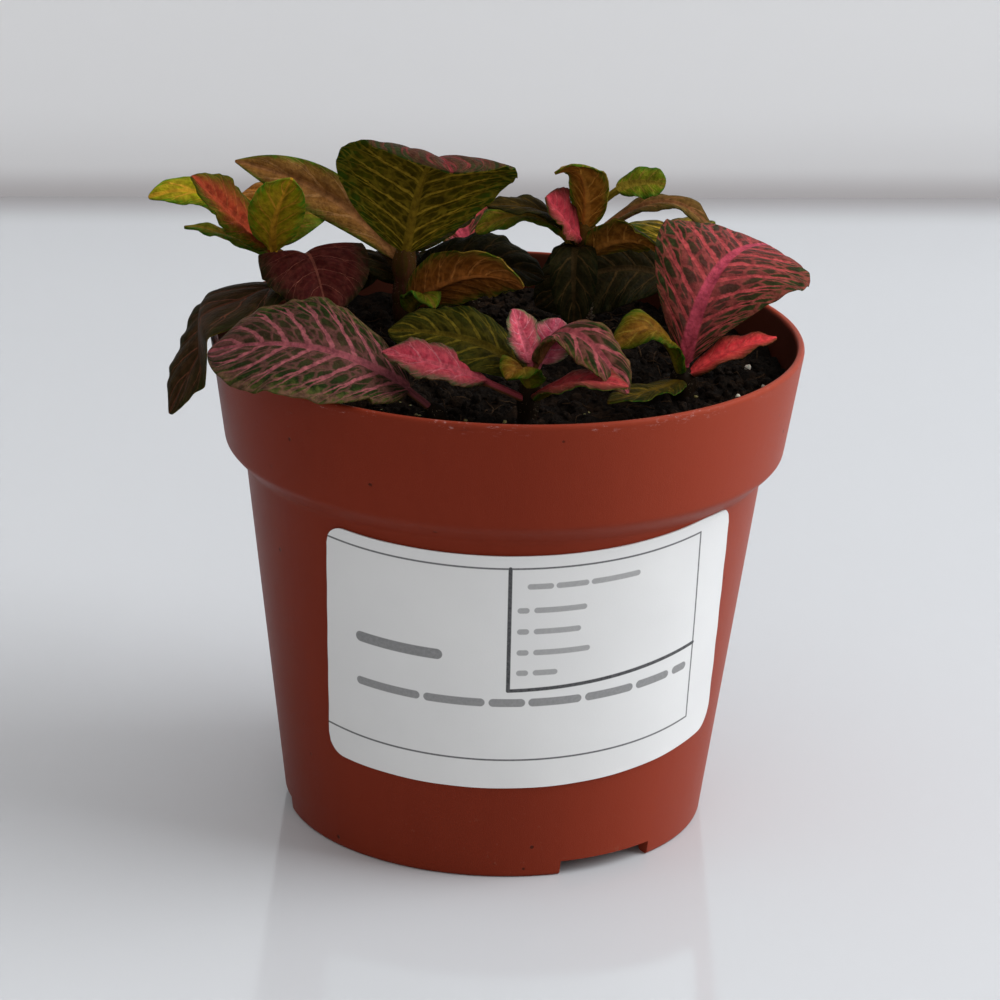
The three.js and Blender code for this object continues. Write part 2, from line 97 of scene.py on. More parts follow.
MATURE = look((25, 42, 12), (66, 66, 28), (152, 80, 80), (132, 60, 66), 0.15, 0.3, 1.1, 0.8)
BROAD = look((40, 46, 22), (52, 56, 30), (174, 71, 72), (176, 62, 94), 0.15, 0.45, 1.2, 0.82)
DUSKY = look((54, 46, 30), (42, 48, 24), (112, 46, 48), (124, 40, 50), 0.2, 0.3, 1.0, 0.6)
OLD = look((46, 39, 20), (38, 40, 17), (112, 68, 50), (66, 38, 25), 0.2, 0.12, 0.4, 0.2)
MAROON = look((68, 26, 22), (32, 27, 13), (146, 88, 70), (80, 26, 24), 0.25, 0.08, 0.35, 0.08)
OLIVE = look((74, 69, 11), (54, 70, 17), (166, 132, 44), (80, 57, 13), 0.5, 0.3, 0.9, 0.75)
GREEN = look((37, 38, 7), (27, 32, 8), (92, 77, 22), (55, 40, 8), 0.3, 0.25, 0.9, 0.6)
SHADE = look((40, 34, 8), (32, 34, 10), (78, 60, 18), (48, 34, 10), 0.4, 0.2, 0.8, 0.5)
BRONZE = look((123, 81, 23), (71, 90, 18), (191, 130, 58), (153, 90, 34), 0.5, 0.3, 0.9, 0.6)
ORANGE = look((136, 96, 44), (70, 92, 24), (160, 114, 72), (136, 80, 48), 0.5, 0.25, 0.8, 0.5)
FRESH = look((91, 104, 16), (53, 95, 25), (135, 109, 42), (118, 95, 25), 0.4, 0.3, 0.8, 0.6)
YOUNG = look((136, 136, 19), (81, 125, 28), (199, 142, 46), (174, 125, 28), 0.4, 0.3, 0.8, 0.6)
RED = look((84, 66, 12), (62, 70, 8), (156, 72, 42), (162, 52, 36), 0.85, 0.2, 0.7, 0.4)
CRIMSON = look((140, 54, 48), (84, 48, 34), (176, 78, 74), (184, 52, 62), 0.85, 0.15, 0.7, 0.4)
SCARLET = look((180, 64, 61), (110, 57, 44), (226, 92, 93), (236, 62, 78), 0.85, 0.15, 0.7, 0.4)
BLUSH = look((147, 59, 55), (83, 47, 29), (195, 82, 86), (213, 64, 78), 0.8, 0.2, 0.7, 0.4)
# Painted shade: a near-black green side for the leaves low inside the plant.
DEEP_SHADED = look((26, 24, 9), (22, 24, 9), (59, 43, 22), (34, 24, 11), 0.3, 0.2, 0.6, 0.4)
AMBER = look((90, 70, 11), (50, 66, 10), (126, 92, 36), (120, 62, 28), 0.6, 0.25, 0.8, 0.5)
PINK = look((177, 91, 93), (78, 93, 58), (217, 133, 138), (210, 79, 100), 0.85, 0.15, 0.8, 0.4)
ROSE = look((133, 59, 60), (57, 60, 36), (164, 88, 91), (159, 51, 65), 0.85, 0.15, 0.8, 0.4)
TAN = look((88, 72, 28), (64, 62, 24), (138, 94, 58), (116, 70, 44), 0.4, 0.3, 0.9, 0.5)

STEMS = {
    "stem_left": Stem((1.6, 1.2), [
        (-27, 6, 66), (-27.5, 6, 70), (-28.5, 6, 74), (-31, 6, 77.5), (-34.5, 6, 80.5),
    ], [
        Leaf(73, (-38.3, -3, 84), (-47.5, -9, 60.5), 15, -8, 6, OLD, OLIVE, form=(0.7, 0.75), hangs=True),
        Leaf(77, (-29, 0, 88), (-25.5, -8, 75.5), 15, -8, 8, MAROON, OLIVE),
        Leaf(80, (-40, 2, 87.5), (-45.5, 0, 93), 9, 45, 15, RED, FRESH, form=(0.8, 0.9)),
        Leaf(80, (-41.5, 10, 91.5), (-52, 6, 88), 5, 15, 10, YOUNG, ORANGE),
        Leaf(80, (-34.5, -1, 88), (-31, -5, 94.5), 7.2, 0, 10, YOUNG, YOUNG),
        Leaf(80, (-31, 15, 90.5), (-24.5, 18, 85.5), 8, -40, 10, FRESH, GREEN),
        Leaf(80, (-34, 14, 90), (-39.5, 18, 85.5), 8, 0, 10, BRONZE, TAN),
        Leaf(79, (-42, 14, 82), (-47.5, 14, 81.5), 3, 0, 10, FRESH, FRESH),
    ]),
    "stem_mid_left": Stem((1.7, 1.3), [
        (-14, 5, 66), (-14.5, 5, 70), (-15, 5, 74.5), (-15.2, 4.8, 79), (-15, 4.5, 83),
    ], [
        Leaf(79, (-23, 9, 90), (-40, 11, 92.5), 6, 60, 12, ORANGE, ORANGE, form=(0.8, 1.0)),
        Leaf(80, (-12.5, -2, 103.5), (-8.5, -14, 98.5), 25, 14, 6, DUSKY, OLIVE, form=(1.0, 0.75)),
        Leaf(80, (-12.5, 14, 89), (-9, 20, 84.5), 14, 0, 8, OLD, OLIVE),
        Leaf(75, (-5, 10, 82), (5, 10, 76.5), 12, -20, 8, DEEP_SHADED, OLIVE),
        Leaf(73, (-5.5, -4, 84.5), (2, -6, 80), 9, 50, 8, BRONZE, BRONZE),
        Leaf(72, (-12.5, -2, 80), (-10.5, -6, 76.5), 4, 0, 10, FRESH, FRESH),
        Leaf(75, (-20, 10, 86), (-22, 13, 73), 14, 0, 8, DEEP_SHADED, DEEP_SHADED),
    ]),
    "stem_back": Stem((1.9, 1.3), [
        (11, 14, 66), (10.5, 14, 70), (10, 13.6, 75), (10.3, 13.3, 80), (10.8, 13.3, 85),
    ], [
        Leaf(82, (12.5, 10, 96.5), (6, 8, 93), 6, 60, 10, BRONZE, BRONZE),
        Leaf(84, (15, 12, 92.5), (22, 11, 91), 4, -55, 8, FRESH, FRESH, stalk=7.5, form=(1.1, 0.5)),
        Leaf(81, (7.5, 8, 87), (4.8, 8, 89.5), 8, 65, 15, BLUSH, BRONZE, form=(1.1, 0.6)),
        Leaf(80, (6.5, 10, 89), (-3.5, 7, 88), 5.5, 25, 10, SHADE, SHADE),
        Leaf(79, (3.5, 12, 90), (-5, 9, 83.5), 3.6, 20, 10, FRESH, FRESH, stalk=5, form=(1.3, 0.6)),
        Leaf(80, (22, 14, 93.5), (29, 10, 84.5), 3.8, -5, 10, TAN, TAN, stalk=4),
        Leaf(79, (18, 8, 87), (22, 4, 82), 8, 40, 10, SHADE, BRONZE),
        Leaf(79, (8.5, 4, 87.5), (9.5, 1, 72), 6, 0, 10, DEEP_SHADED, DEEP_SHADED),
    ]),
    "stem_right": Stem((1.7, 1.4), [(25, -10, 66), (25, -10, 68), (25, -10, 70.5)], [
        Leaf(69, (27, -12, 90), (37, 9, 83), 22, -12, 4, BROAD, TAN, form=(1.15, 0.85)),
        Leaf(68, (30, -12, 74.5), (37.8, -10, 75), 3.8, -40, 12, SCARLET, TAN, form=(0.7, 1.0)),
        Leaf(68, (21.6, -15, 82.5), (14.8, -18, 75), 6.6, 35, 10, AMBER, FRESH, form=(0.8, 0.8)),
        Leaf(68, (19.5, -26, 71.5), (14, -31, 71.5), 5.5, 0, 10, GREEN, FRESH),
    ]),
    "stem_front": Stem((1.4, 1.2), [
        (3, -24, 66), (3.2, -24, 69), (3.5, -24, 71.5), (3.7, -24, 74),
    ], [
        Leaf(71, (-1.5, -24, 79.5), (-16.5, -21, 77.5), 10, 35, 8, GREEN, FRESH),
        Leaf(69, (-8, -31, 76.5), (-17, -29, 77), 8, 30, 12, ROSE, TAN, stalk=8, form=(0.9, 0.9)),
        Leaf(73, (2, -25, 79), (0.5, -25, 82.5), 4.5, 80, 15, PINK, PINK),
        Leaf(73, (6, -24, 77.5), (7, -22, 80.5), 5.5, -75, 10, PINK, PINK),
        Leaf(73, (7, -26, 87), (16.5, -33, 73.5), 7.8, -5, 8, MATURE, TAN),
        Leaf(69, (9.5, -33, 77), (16.5, -35, 75), 6, -20, 10, CRIMSON, FRESH),
        Leaf(70, (2.9, -28.5, 78), (0, -31.5, 74.5), 5.5, 25, 10, AMBER, FRESH),
    ]),
    "stem_front_left": Stem((1.5, 1.2), [(-9, -26, 66), (-9.5, -26.5, 67.5), (-10.5, -27, 69)], [
        Leaf(68, (-24, -31, 82), (-41, -25.5, 75), 23.5, 26, 5, MATURE, TAN, stalk=5, form=(0.88, 0.7)),
    ]),
    "stem_rear_left": Stem((1.6, 1.2), [(-6, 28, 66), (-6.5, 28, 71), (-7, 28, 77)], [
        Leaf(75, (-22, 30, 89), (-31, 33, 79), 14, 0, 8, MATURE, OLIVE),
        Leaf(75, (-10, 38, 90), (-13, 50, 79), 14, 0, 8, BROAD, OLIVE),
        Leaf(72, (-8, 21, 80), (-9, 14, 71), 12, 0, 8, DEEP_SHADED, DEEP_SHADED),
    ]),
    "stem_rear_right": Stem((1.6, 1.2), [(24, 24, 66), (25, 24, 70), (26, 24, 75.5)], [
        Leaf(74, (33, 28, 79), (41.5, 30, 74), 11.5, 0, 8, MATURE, OLIVE),
        Leaf(74, (25, 33, 82), (22, 44, 75), 12, 0, 8, OLIVE, OLIVE),
        Leaf(72, (16, 21, 79.5), (4, 20, 69.5), 12, 50, 8, DEEP_SHADED, DEEP_SHADED),
    ]),
}


def rgb(*screen):
    """Linear colour from screen values out of 255."""
    shares = [c / 255 for c in screen]
    return (*(c / 12.92 if c <= 0.04045 else ((c + 0.055) / 1.055) ** 2.4 for c in shares), 1.0)


# Mesh helpers

def to_frame(points):
    return np.asarray(points, float) / 1000 + AXIS


def add_object(name, data):
    made = bpy.data.objects.new(name, data)
    bpy.context.scene.collection.objects.link(made)
    return made


def new_object(name, points, faces, materials, face_material=None, smooth=True, sharp=None):
    mesh = bpy.data.meshes.new(name)
    mesh.from_pydata(to_frame(points).tolist(), [], faces)
    for material in materials:
        mesh.materials.append(material)
    if face_material is not None:
        mesh.polygons.foreach_set("material_index", face_material)
    mesh.polygons.foreach_set("use_smooth", [smooth] * len(mesh.polygons))
    if sharp is not None:
        mesh.set_sharp_from_angle(angle=radians(sharp))
    mesh.update()
    return add_object(name, mesh)


def point_field(obj, name, values):
    kind, key = ("FLOAT_COLOR", "color") if values.shape[-1] == 4 else ("FLOAT_VECTOR", "vector")
    field = obj.data.attributes.new(name, kind, "POINT")
    field.data.foreach_set(key, values.astype(np.float32).ravel())


def point_uv(obj, uv):
    mesh = obj.data
    layer = mesh.uv_layers.new(name="UVMap")
    corner = np.empty(len(mesh.loops), dtype=np.int32)
    mesh.loops.foreach_get("vertex_index", corner)
    layer.data.foreach_set("uv", np.asarray(uv, dtype=np.float32)[corner].ravel())


def grid_faces(rows, columns, start=0, flip=False, closed=False):
    i, j = np.meshgrid(np.arange(rows - 1), np.arange(columns if closed else columns - 1), indexing="ij")
    a = start + i * columns + j
    b = start + i * columns + (j + 1) % columns
    quads = np.stack([a, b, b + columns, a + columns], -1).reshape(-1, 4)
    return (quads[:, ::-1] if flip else quads).tolist()


def tube_faces(rings, sides):
    """A closed tube of rings with a flat face at each end."""
    low = list(range(sides))[::-1]
    top = list(range((rings - 1) * sides, rings * sides))
    return grid_faces(rings, sides, closed=True) + [low, top]


def sheet_faces(rows, columns, start=0):
    """Top, underside and edge of a thin sheet. The grid of the underside comes after the top's."""
    size = rows * columns
    top = grid_faces(rows, columns, start, True)
    low = grid_faces(rows, columns, start + size)
    grid = start + np.arange(size).reshape(rows, columns)
    border = np.r_[grid[0, :-1], grid[:-1, -1], grid[-1, :0:-1], grid[:0:-1, 0]]
    after = np.roll(border, -1)
    return top, low, np.stack([border, after, after + size, border + size], -1).tolist()


def turns(sides):
    return 2 * pi * np.arange(sides) / sides


def ring(radius, z, sides):
    """A level circle of points round the axis, from the front towards the right."""
    turn = turns(sides)
    return np.stack([radius * np.sin(turn), -radius * np.cos(turn), np.full(sides, z)], -1)


def unit(v):
    return v / np.maximum(np.linalg.norm(v, axis=-1, keepdims=True), 1e-12)


# Leaves

def between(at, known, rows):
    """Rows of three values, read between the known places."""
    return np.stack([np.interp(at, known, rows[:, k]) for k in range(3)], -1)


def bell(x, width):
    return np.exp(-(x / width) ** 2)


def stem_point(path, z):
    path = np.asarray(path, float)
    return between(z, path[:, 2], path)


def rib_frames(start, bend, tip, count=240):
    """Points along the rib, the directions across and out of the blade there, and the rib's length."""
    t = np.linspace(0, 1, 801)[:, None]
    curve = (1 - t) ** 2 * start + 2 * t * (1 - t) * bend + t ** 2 * tip
    along = 2 * (1 - t) * (bend - start) + 2 * t * (tip - bend)
    length = np.r_[0, np.cumsum(np.linalg.norm(np.diff(curve, axis=0), axis=1))]
    at = np.linspace(0, length[-1], count)
    points = between(at, length, curve)
    along = unit(between(at, length, along))
    up = np.array([0, 0, 1.0])
    side = np.cross(along[0], up)
    if np.linalg.norm(side) < 0.2:
        side = np.cross(unit(tip - start), up)
    sides = []
    for a in along:
        side = unit(side - a * (side @ a))
        sides.append(side)
    sides = np.array(sides)
    return points, sides, np.cross(sides, along), length[-1]


def clear_of_rim(points, hangs):
    """Keeps a leaf off the pot's rim: a hanging one goes outwards there, the others upwards."""
    radius = np.hypot(points[..., 0], points[..., 1])
    if hangs:
        share = np.clip((RIM_CLEAR_Z + 4 - points[..., 2]) / 4, 0, 1) * np.clip((radius - 34) / 5, 0, 1)
        share = np.where(radius < RIM_CLEAR_RADIUS, share * share * (3 - 2 * share), 0)
        grow = 1 + share * (RIM_CLEAR_RADIUS / np.maximum(radius, 1e-6) - 1)
        points[..., :2] *= grow[..., None]
        radius = radius * grow
    near = (points[..., 2] < RIM_CLEAR_Z) & (radius > RIM_RADIUS - 2.6) & (radius < RIM_CLEAR_RADIUS)
    if hangs:
        points[near, :2] *= (RIM_CLEAR_RADIUS / radius[near])[:, None]
    else:
        points[near, 2] = RIM_CLEAR_Z


def leaf_grid(width):
    """Rows u from the blade's foot to its tip, columns v from -1 to 1. part is under 1 on the stalk."""
    rows, halves = (84, 30) if width > 11 else (60, 20) if width > 6 else (44, 12)
    t = np.linspace(0, 1, rows)
    u_row = np.r_[np.zeros(STALK_ROWS), 0.35 * t + 0.65 * 0.5 * (1 - np.cos(pi * t))]
    part_row = np.r_[np.arange(STALK_ROWS) / STALK_ROWS, np.ones(rows)]
    v_row = np.linspace(-1, 1, 2 * halves + 1)
    v_row = np.sign(v_row) * (0.75 * np.abs(v_row) + 0.25 * np.sin(np.abs(v_row) * pi / 2))
    u, v = np.meshgrid(u_row, v_row, indexing="ij")
    return u, v, np.repeat(part_row[:, None], len(v_row), 1)


def swept(u, v):
    return u + VEIN_SWEEP * np.abs(v) * np.sin(pi * u)


def half_width(spec, u, part):
    lean, fill = spec.form
    blade = np.maximum(np.sin(pi * np.clip(u, 0, 1) ** lean), 0) ** fill
    return np.where(part < 1, STALK_HALF_WIDTH, (0.5 - 0.32 * u ** 6) + spec.width / 2 * blade)


def vein_lanes(width, order, u, v):
    """The lane between side veins at each point, and how far the nearest vein is in lanes."""
    a = np.abs(v)
    veins = 9 if width > 16 else 7 if width > 8 else 5
    lane = (swept(u, v) - 0.2 * a - 0.07 * a * a) * veins + 0.37 * order + np.where(v < 0, 0.12, 0)
    return lane, np.abs(lane - np.floor(lane) - 0.5)


def blade_lift(spec, order, u, v, half, from_vein):
    """Height over the rib's plane: fold, curl, waves, puffed fields and the rib's groove."""
    width, a, swell = spec.width, np.abs(v), np.sin(pi * u)
    wave = MARGIN_WAVE * np.sin(16 * u + order * 1.9 + np.where(v < 0, 0, 1.3)) * a * a * swell
    ruffle = np.sin(43 * u + order + 2.1 * np.sign(v)) + 0.6 * np.sin(71 * u + 2.7 * order - np.sign(v))
    ruffle = 0.2 * min(1, width / 12) * ruffle * a ** 4 * swell
    reach = swell ** 0.5 * (1 - a ** 4)
    puff = 0.3 * min(1, width / 14) * (1 - bell(from_vein, 0.2)) * reach * np.minimum(1, a * 4)
    groove = 0.3 * bell(a * half, 0.7) * swell
    fold = tan(radians(spec.fold))
    return a * half * fold - 0.1 * half * a ** 2.5 + wave + ruffle + puff - groove


def blade_skins(width, u, v, part, half, from_vein):
    """How far the top and the ribbed underside stand off the middle of the blade."""
    a, swell = np.abs(v), np.sin(pi * u)
    thick = STALK_THICKNESS + (BLADE_THICKNESS - STALK_THICKNESS) * np.clip(u * 5, 0, 1)
    thick = thick / 2 * (1 - 0.55 * a ** 6)
    ridge = 0.45 * bell(a * half, 0.55) * np.clip(1 - u, 0, 1) ** 0.5 * swell ** 0.3
    vein = bell(from_vein, 0.1) * (swell ** 0.5 * (1 - a ** 4))
    ridge = ridge + 0.13 * vein * min(1, width / 12)
    round_stalk = np.where(part < 1, 1 - 0.6 * a ** 2, 1)
    return thick * round_stalk, (thick + ridge) * round_stalk


def leaf_parts(spec, stem, order):
    """Upper and lower points of one leaf, what its materials need there, and the grid's size."""
    start = stem_point(stem.path, spec.start)
    bend, tip = np.array(spec.bend, float), np.array(spec.tip, float)
    points, sides, ups, length = rib_frames(start, bend, tip)
    u, v, part = leaf_grid(spec.width)
    stalk = spec.stalk / length
    place = np.where(part < 1, part * stalk, stalk + (1 - stalk) * swept(u, v))
    at = np.linspace(0, 1, len(points))
    point, side, up = (between(place, at, rows) for rows in (points, sides, ups))
    side, up = unit(side), unit(up)
    roll, fold = radians(spec.roll), radians(spec.fold)
    across = side * cos(roll) + up * sin(roll)
    normal = up * cos(roll) - side * sin(roll)
    half = half_width(spec, u, part)
    lane, from_vein = vein_lanes(spec.width, order, u, v)
    lift = blade_lift(spec, order, u, v, half, from_vein)
    middle = point + across * (v * half * cos(fold))[..., None] + normal * lift[..., None]
    clear_of_rim(middle, spec.hangs)
    above, below = blade_skins(spec.width, u, v, part, half, from_vein)
    flat = np.stack([swept(u, v) * length, v * half + 60, lane], -1)
    shape = np.stack([np.abs(v) * half, part + u, np.abs(v)], -1)
    upper, lower = middle + normal * above[..., None], middle - normal * below[..., None]
    return [values.reshape(-1, 3) for values in (upper, lower, flat, shape)], u.shape


COLOURS = ("ground", "margin", "vein", "centre")
STEM_LOOK = look((96, 66, 30), (96, 66, 30), (110, 70, 40), (96, 60, 30), 0.2, 0.2, 0.5, 0.5)


def side_colours(one_side, size, tint):
    """The colours of one side at each point, with their strengths as fourth values."""
    rows = []
    for name in COLOURS:
        colour, strength = one_side[name]
        linear = np.array(rgb(*colour)[:3]) * tint * LEAF_TONE
        rows.append(np.tile([*linear, strength], (size, 1)))
    return np.stack(rows)


def stem_rings(stem):
    """Rings of points up a stem, thicker where leaves start, and how far up each is."""
    path = np.array([(*stem.path[0][:2], STEM_FOOT_Z), *stem.path], float)
    run = np.r_[0, np.cumsum(np.linalg.norm(np.diff(path, axis=0), axis=1))]
    at = np.linspace(0, run[-1], int(run[-1] / 0.45))
    smooth = between(at, run, path)
    for _ in range(6):
        smooth[1:-1] = (smooth[:-2] + 2 * smooth[1:-1] + smooth[2:]) / 4
    knots = np.array([np.interp(spec.start, path[:, 2], run) for spec in stem.leaves])
    radius = np.interp(at, run, np.linspace(stem.radii[0], stem.radii[1], len(run)))
    radius *= 1 + 0.22 * bell(at[:, None] - knots[None], 1.1).max(1)
    radius *= 1 - 0.55 * np.clip((at - run[-1] + 1.5) / 1.5, 0, 1) ** 2
    side = np.array([1.0, 0, 0])
    turn = turns(STEM_SIDES)
    rings = []
    for i, a in enumerate(unit(np.gradient(smooth, axis=0))):
        side = unit(side - a * (side @ a))
        other = np.cross(a, side)
        r = radius[i] * (1 + 0.06 * np.cos(4 * turn) + 0.03 * np.sin(9 * turn + at[i] * 2.2))
        rings.append(smooth[i] + side * (np.cos(turn) * r)[:, None] + other * (np.sin(turn) * r)[:, None])
    return np.array(rings), at


def leafy_stem(name, stem, materials, rng):
    """One mesh of a stem and its leaves. Materials: 0 top of a blade, 1 underside, 2 stem."""
    rings, at = stem_rings(stem)
    count = len(rings) * STEM_SIDES
    along, round_it = np.meshgrid(at, np.arange(STEM_SIDES) * 0.5, indexing="ij")
    points = [rings.reshape(-1, 3)]
    faces = tube_faces(len(rings), STEM_SIDES)
    face_material = [2] * len(faces)
    flats = [np.stack([along, round_it, along], -1).reshape(-1, 3)]
    shapes = [np.zeros((count, 3))]
    colours = [side_colours(STEM_LOOK, count, 1)]
    for order, spec in enumerate(stem.leaves):
        (upper, lower, flat, shape), (rows, columns) = leaf_parts(spec, stem, order)
        points += [upper, lower]
        tint = 1 + 0.06 * rng.standard_normal(3)
        for one_side in (spec.upper, spec.lower):
            flats.append(flat + np.array([17.0 * order, 9.0 * order, 0]))
            shapes.append(shape)
            colours.append(side_colours(one_side, rows * columns, tint))
        top, low, edge = sheet_faces(rows, columns, count)
        faces += top + low + edge
        face_material += [0] * len(top) + [1] * len(low) + [0] * len(edge)
        count += 2 * rows * columns
    made = new_object(name, np.concatenate(points), faces, materials, face_material, sharp=70)
    flats = np.concatenate(flats)
    point_field(made, "flat", flats)
    point_field(made, "shape", np.concatenate(shapes))
    for field, values in zip(COLOURS, np.concatenate(colours, 1)):
        point_field(made, field, values)
    point_uv(made, flats[:, :2] / 200)
    return made


# Materials

class Graph:
    """A material's nodes, written as sums."""

    def __init__(self, name):
        self.material = bpy.data.materials.new(name)
        self.material.use_nodes = True
        self.tree = self.material.node_tree
        self.tree.nodes.clear()

    def put(self, socket, value):
        if isinstance(value, bpy.types.NodeSocket):
            self.tree.links.new(value, socket)
        elif value is not None:
            socket.default_value = value

    def node(self, kind, inputs=None, **settings):
        made = self.tree.nodes.new("ShaderNode" + kind)
        for key, value in settings.items():
            setattr(made, key, value)
        for key, value in (inputs or {}).items():
            self.put(made.inputs[key], value)
        return made

    def math(self, operation, a, b=None, clamp=False):
        return self.node("Math", {0: a, 1: b}, operation=operation, use_clamp=clamp).outputs[0]

    def add(self, a, b):
        return self.math("ADD", a, b)

    def mul(self, a, b):
        return self.math("MULTIPLY", a, b)

    def most(self, a, b):
        return self.math("MAXIMUM", a, b)

    def step(self, value, low, high, to=(0, 1)):
        """Smooth change from to[0] at low to to[1] at high."""
        inputs = {"Value": value, "From Min": low, "From Max": high, "To Min": to[0], "To Max": to[1]}
        return self.node("MapRange", inputs, interpolation_type="SMOOTHSTEP").outputs[0]

    def mix(self, factor, a, b, blend="MIX"):
        """A colour given as numbers is screen values."""
        a, b = (rgb(*c) if isinstance(c, tuple) else c for c in (a, b))
        inputs = {0: factor, 6: a, 7: b}
        return self.node("Mix", inputs, data_type="RGBA", blend_type=blend).outputs[2]

    def noise(self, vector, scale, detail=3.0, rough=0.55, warp=0.0):
        inputs = {"Vector": vector, "Scale": scale, "Detail": detail, "Roughness": rough, "Distortion": warp}
        return self.node("TexNoise", inputs).outputs["Fac"]

    def cells(self, vector, scale, feature="DISTANCE_TO_EDGE"):
        inputs = {"Vector": vector, "Scale": scale}
        return self.node("TexVoronoi", inputs, feature=feature).outputs["Distance"]

    def field(self, name):
        return self.node("Attribute", attribute_name=name).outputs

    def split(self, vector):
        return self.node("SeparateXYZ", {0: vector}).outputs

    def join(self, x, y, z):
        return self.node("CombineXYZ", {0: x, 1: y, 2: z}).outputs[0]

    def bump(self, height, depth, normal=None):
        """depth is in metres, for a height from 0 to 1."""
        return self.node("Bump", {"Height": height, "Distance": depth, "Normal": normal}).outputs[0]

    def stretch(self, vector, scale, offset=(0, 0, 0)):
        return self.node("Mapping", {"Vector": vector, "Scale": scale, "Location": offset}).outputs[0]

    def finish(self, colour, rough, normal=None, specular=None, glow=()):
        """glow has the weight, the scale and, if not the usual one, the radius of the light inside."""
        inputs = {"Base Color": colour, "Roughness": rough, "Normal": normal, "Specular IOR Level": specular}
        inputs.update({"Subsurface " + key: value for key, value in zip(("Weight", "Scale", "Radius"), glow)})
        self.node("OutputMaterial", {"Surface": self.node("BsdfPrincipled", inputs).outputs[0]})
        return self.material


def object_mm(g):
    """Place on the object in mm from the pot's axis."""
    position = g.node("TexCoord").outputs["Object"]
    return g.stretch(position, (1000,) * 3, tuple(-AXIS * 1000))


BLADE_GLOW = (0.08, 0.0005, (1.0, 0.6, 0.2))


def leaf_surface(g, rib_width, lateral_width):
    """Colour of a blade and the share of its veins, from the fields that each leaf carries."""
    flat = g.field("flat")[1]
    lane = g.split(flat)[2]
    from_rib, along, a = g.split(g.field("shape")[1])
    ground, margin, vein, centre = (g.field(name) for name in COLOURS)
    u = g.math("SUBTRACT", along, 1.0, clamp=True)
    wobble = g.noise(flat, 0.5, 3.0)
    lane = g.add(lane, g.mul(g.add(wobble, -0.5), 0.3))
    off = g.math("ABSOLUTE", g.add(g.math("FRACT", lane), -0.5))
    fork = g.mul(g.step(a, 0.4, 0.95), 0.2)
    off = g.math("ABSOLUTE", g.math("SUBTRACT", off, fork))
    reach = g.mul(g.step(a, 0.0, 1.0, (0.17, 0.05)), g.mul(vein[3], lateral_width))
    reach = g.mul(reach, g.add(g.noise(flat, 1.3, 2.0), 0.5))
    lateral = g.step(g.math("DIVIDE", off, g.most(reach, 0.005)), 1.35, 0.65)
    lateral = g.mul(lateral, g.step(a, 0.55, 1.02, (1, 0.35)))
    rib = g.mul(margin[3], g.mul(g.step(u, 0.0, 1.0, (0.95, 0.3)), rib_width))
    rib = g.step(g.math("DIVIDE", from_rib, rib), 1.2, 0.75)
    woven = g.join(g.mul(lane, 2.3), g.mul(from_rib, 0.42), g.mul(g.split(flat)[1], 0.02))
    net = g.mul(g.step(g.cells(woven, 1.0), 0.17, 0.04), ground[3])
    veins = g.most(g.most(rib, lateral), net)
    mottle = g.noise(flat, 0.9, 5.0, 0.65)
    broken = g.add(a, g.mul(g.add(mottle, -0.5), 0.7))
    colour = g.mix(g.step(broken, 0.66, 1.0), ground[0], margin[0])
    colour = g.mix(g.mul(g.step(broken, 0.85, 0.15), centre[3]), colour, centre[0])
    colour = g.mix(g.mul(veins, 0.92), colour, g.mix(g.mul(rib, 0.5), vein[0], centre[0]))
    shade = g.step(mottle, 0.25, 0.75, (0.6, 1.45))
    colour = g.mix(1.0, colour, g.join(shade, shade, shade), "MULTIPLY")
    return flat, colour, veins, mottle


def leaf_upper():
    g = Graph("leaf_upper")
    flat, colour, veins, mottle = leaf_surface(g, 1.0, 1.0)
    height = g.add(g.mul(g.cells(flat, 1.35), 0.7), g.mul(mottle, 0.3))
    normal = g.bump(g.add(height, g.mul(veins, -0.35)), 0.00016)
    normal = g.bump(g.noise(flat, 9.0, 3.0), 0.00002, normal)
    rough = g.add(g.add(g.mul(mottle, 0.16), g.mul(veins, 0.06)), 0.38)
    return g.finish(colour, rough, normal, 0.01, BLADE_GLOW)


def leaf_lower():
    g = Graph("leaf_lower")
    flat, colour, veins, mottle = leaf_surface(g, 0.8, 0.7)
    normal = g.bump(g.add(g.mul(veins, 0.7), g.mul(mottle, 0.4)), 0.00014)
    rough = g.add(g.mul(mottle, 0.2), 0.44)
    return g.finish(colour, rough, normal, 0.005, BLADE_GLOW)


def stem_skin():
    g = Graph("stem_skin")
    flat = g.field("flat")[1]
    height = g.split(object_mm(g))[2]
    streak = g.noise(g.stretch(flat, (0.25, 1.6, 0.25)), 1.2, 4.0)
    spots = g.noise(flat, 2.4, 3.0)
    colour = g.mix(g.step(streak, 0.35, 0.7), (52, 38, 12), (66, 32, 24))
    colour = g.mix(g.step(spots, 0.5, 0.75), colour, (34, 24, 10))
    colour = g.mix(g.step(height, 77.0, 88.0), colour, (84, 60, 14))
    colour = g.mix(g.step(height, 76.0, 69.0), colour, (26, 18, 10))
    normal = g.bump(g.add(streak, g.mul(spots, 0.5)), 0.00012)
    rough = g.add(g.mul(spots, 0.2), 0.45)
    return g.finish(colour, rough, normal, 0.04, (0.1, 0.0008))


def pot_dust(g, place, z):
    """Dust low on the wall and a trace on the shoulder."""
    low = g.step(z, 16.0, 0.5)
    shoulder = g.step(z, BODY_TOP_Z - 0.5, BODY_TOP_Z + 3.0)
    shoulder = g.mul(shoulder, g.step(z, BODY_TOP_Z + 7.0, BODY_TOP_Z + 4.0))
    where = g.most(g.mul(low, 0.35), g.mul(shoulder, 0.06))
    return g.mul(g.step(g.noise(place, 0.9, 6.0, 0.7), 0.62, 0.72), where)


def band_scuffs(g, place, z):
    """Faint level scratches in patches on the rim band."""
    lines = g.noise(g.stretch(place, (0.5, 0.5, 3.2)), 0.9, 6.0, 0.75, 0.6)
    patches = g.step(g.noise(place, 0.09, 2.0), 0.52, 0.66)
    return g.mul(g.step(lines, 0.62, 0.7), g.mul(g.step(z, 62.0, 66.0), patches))


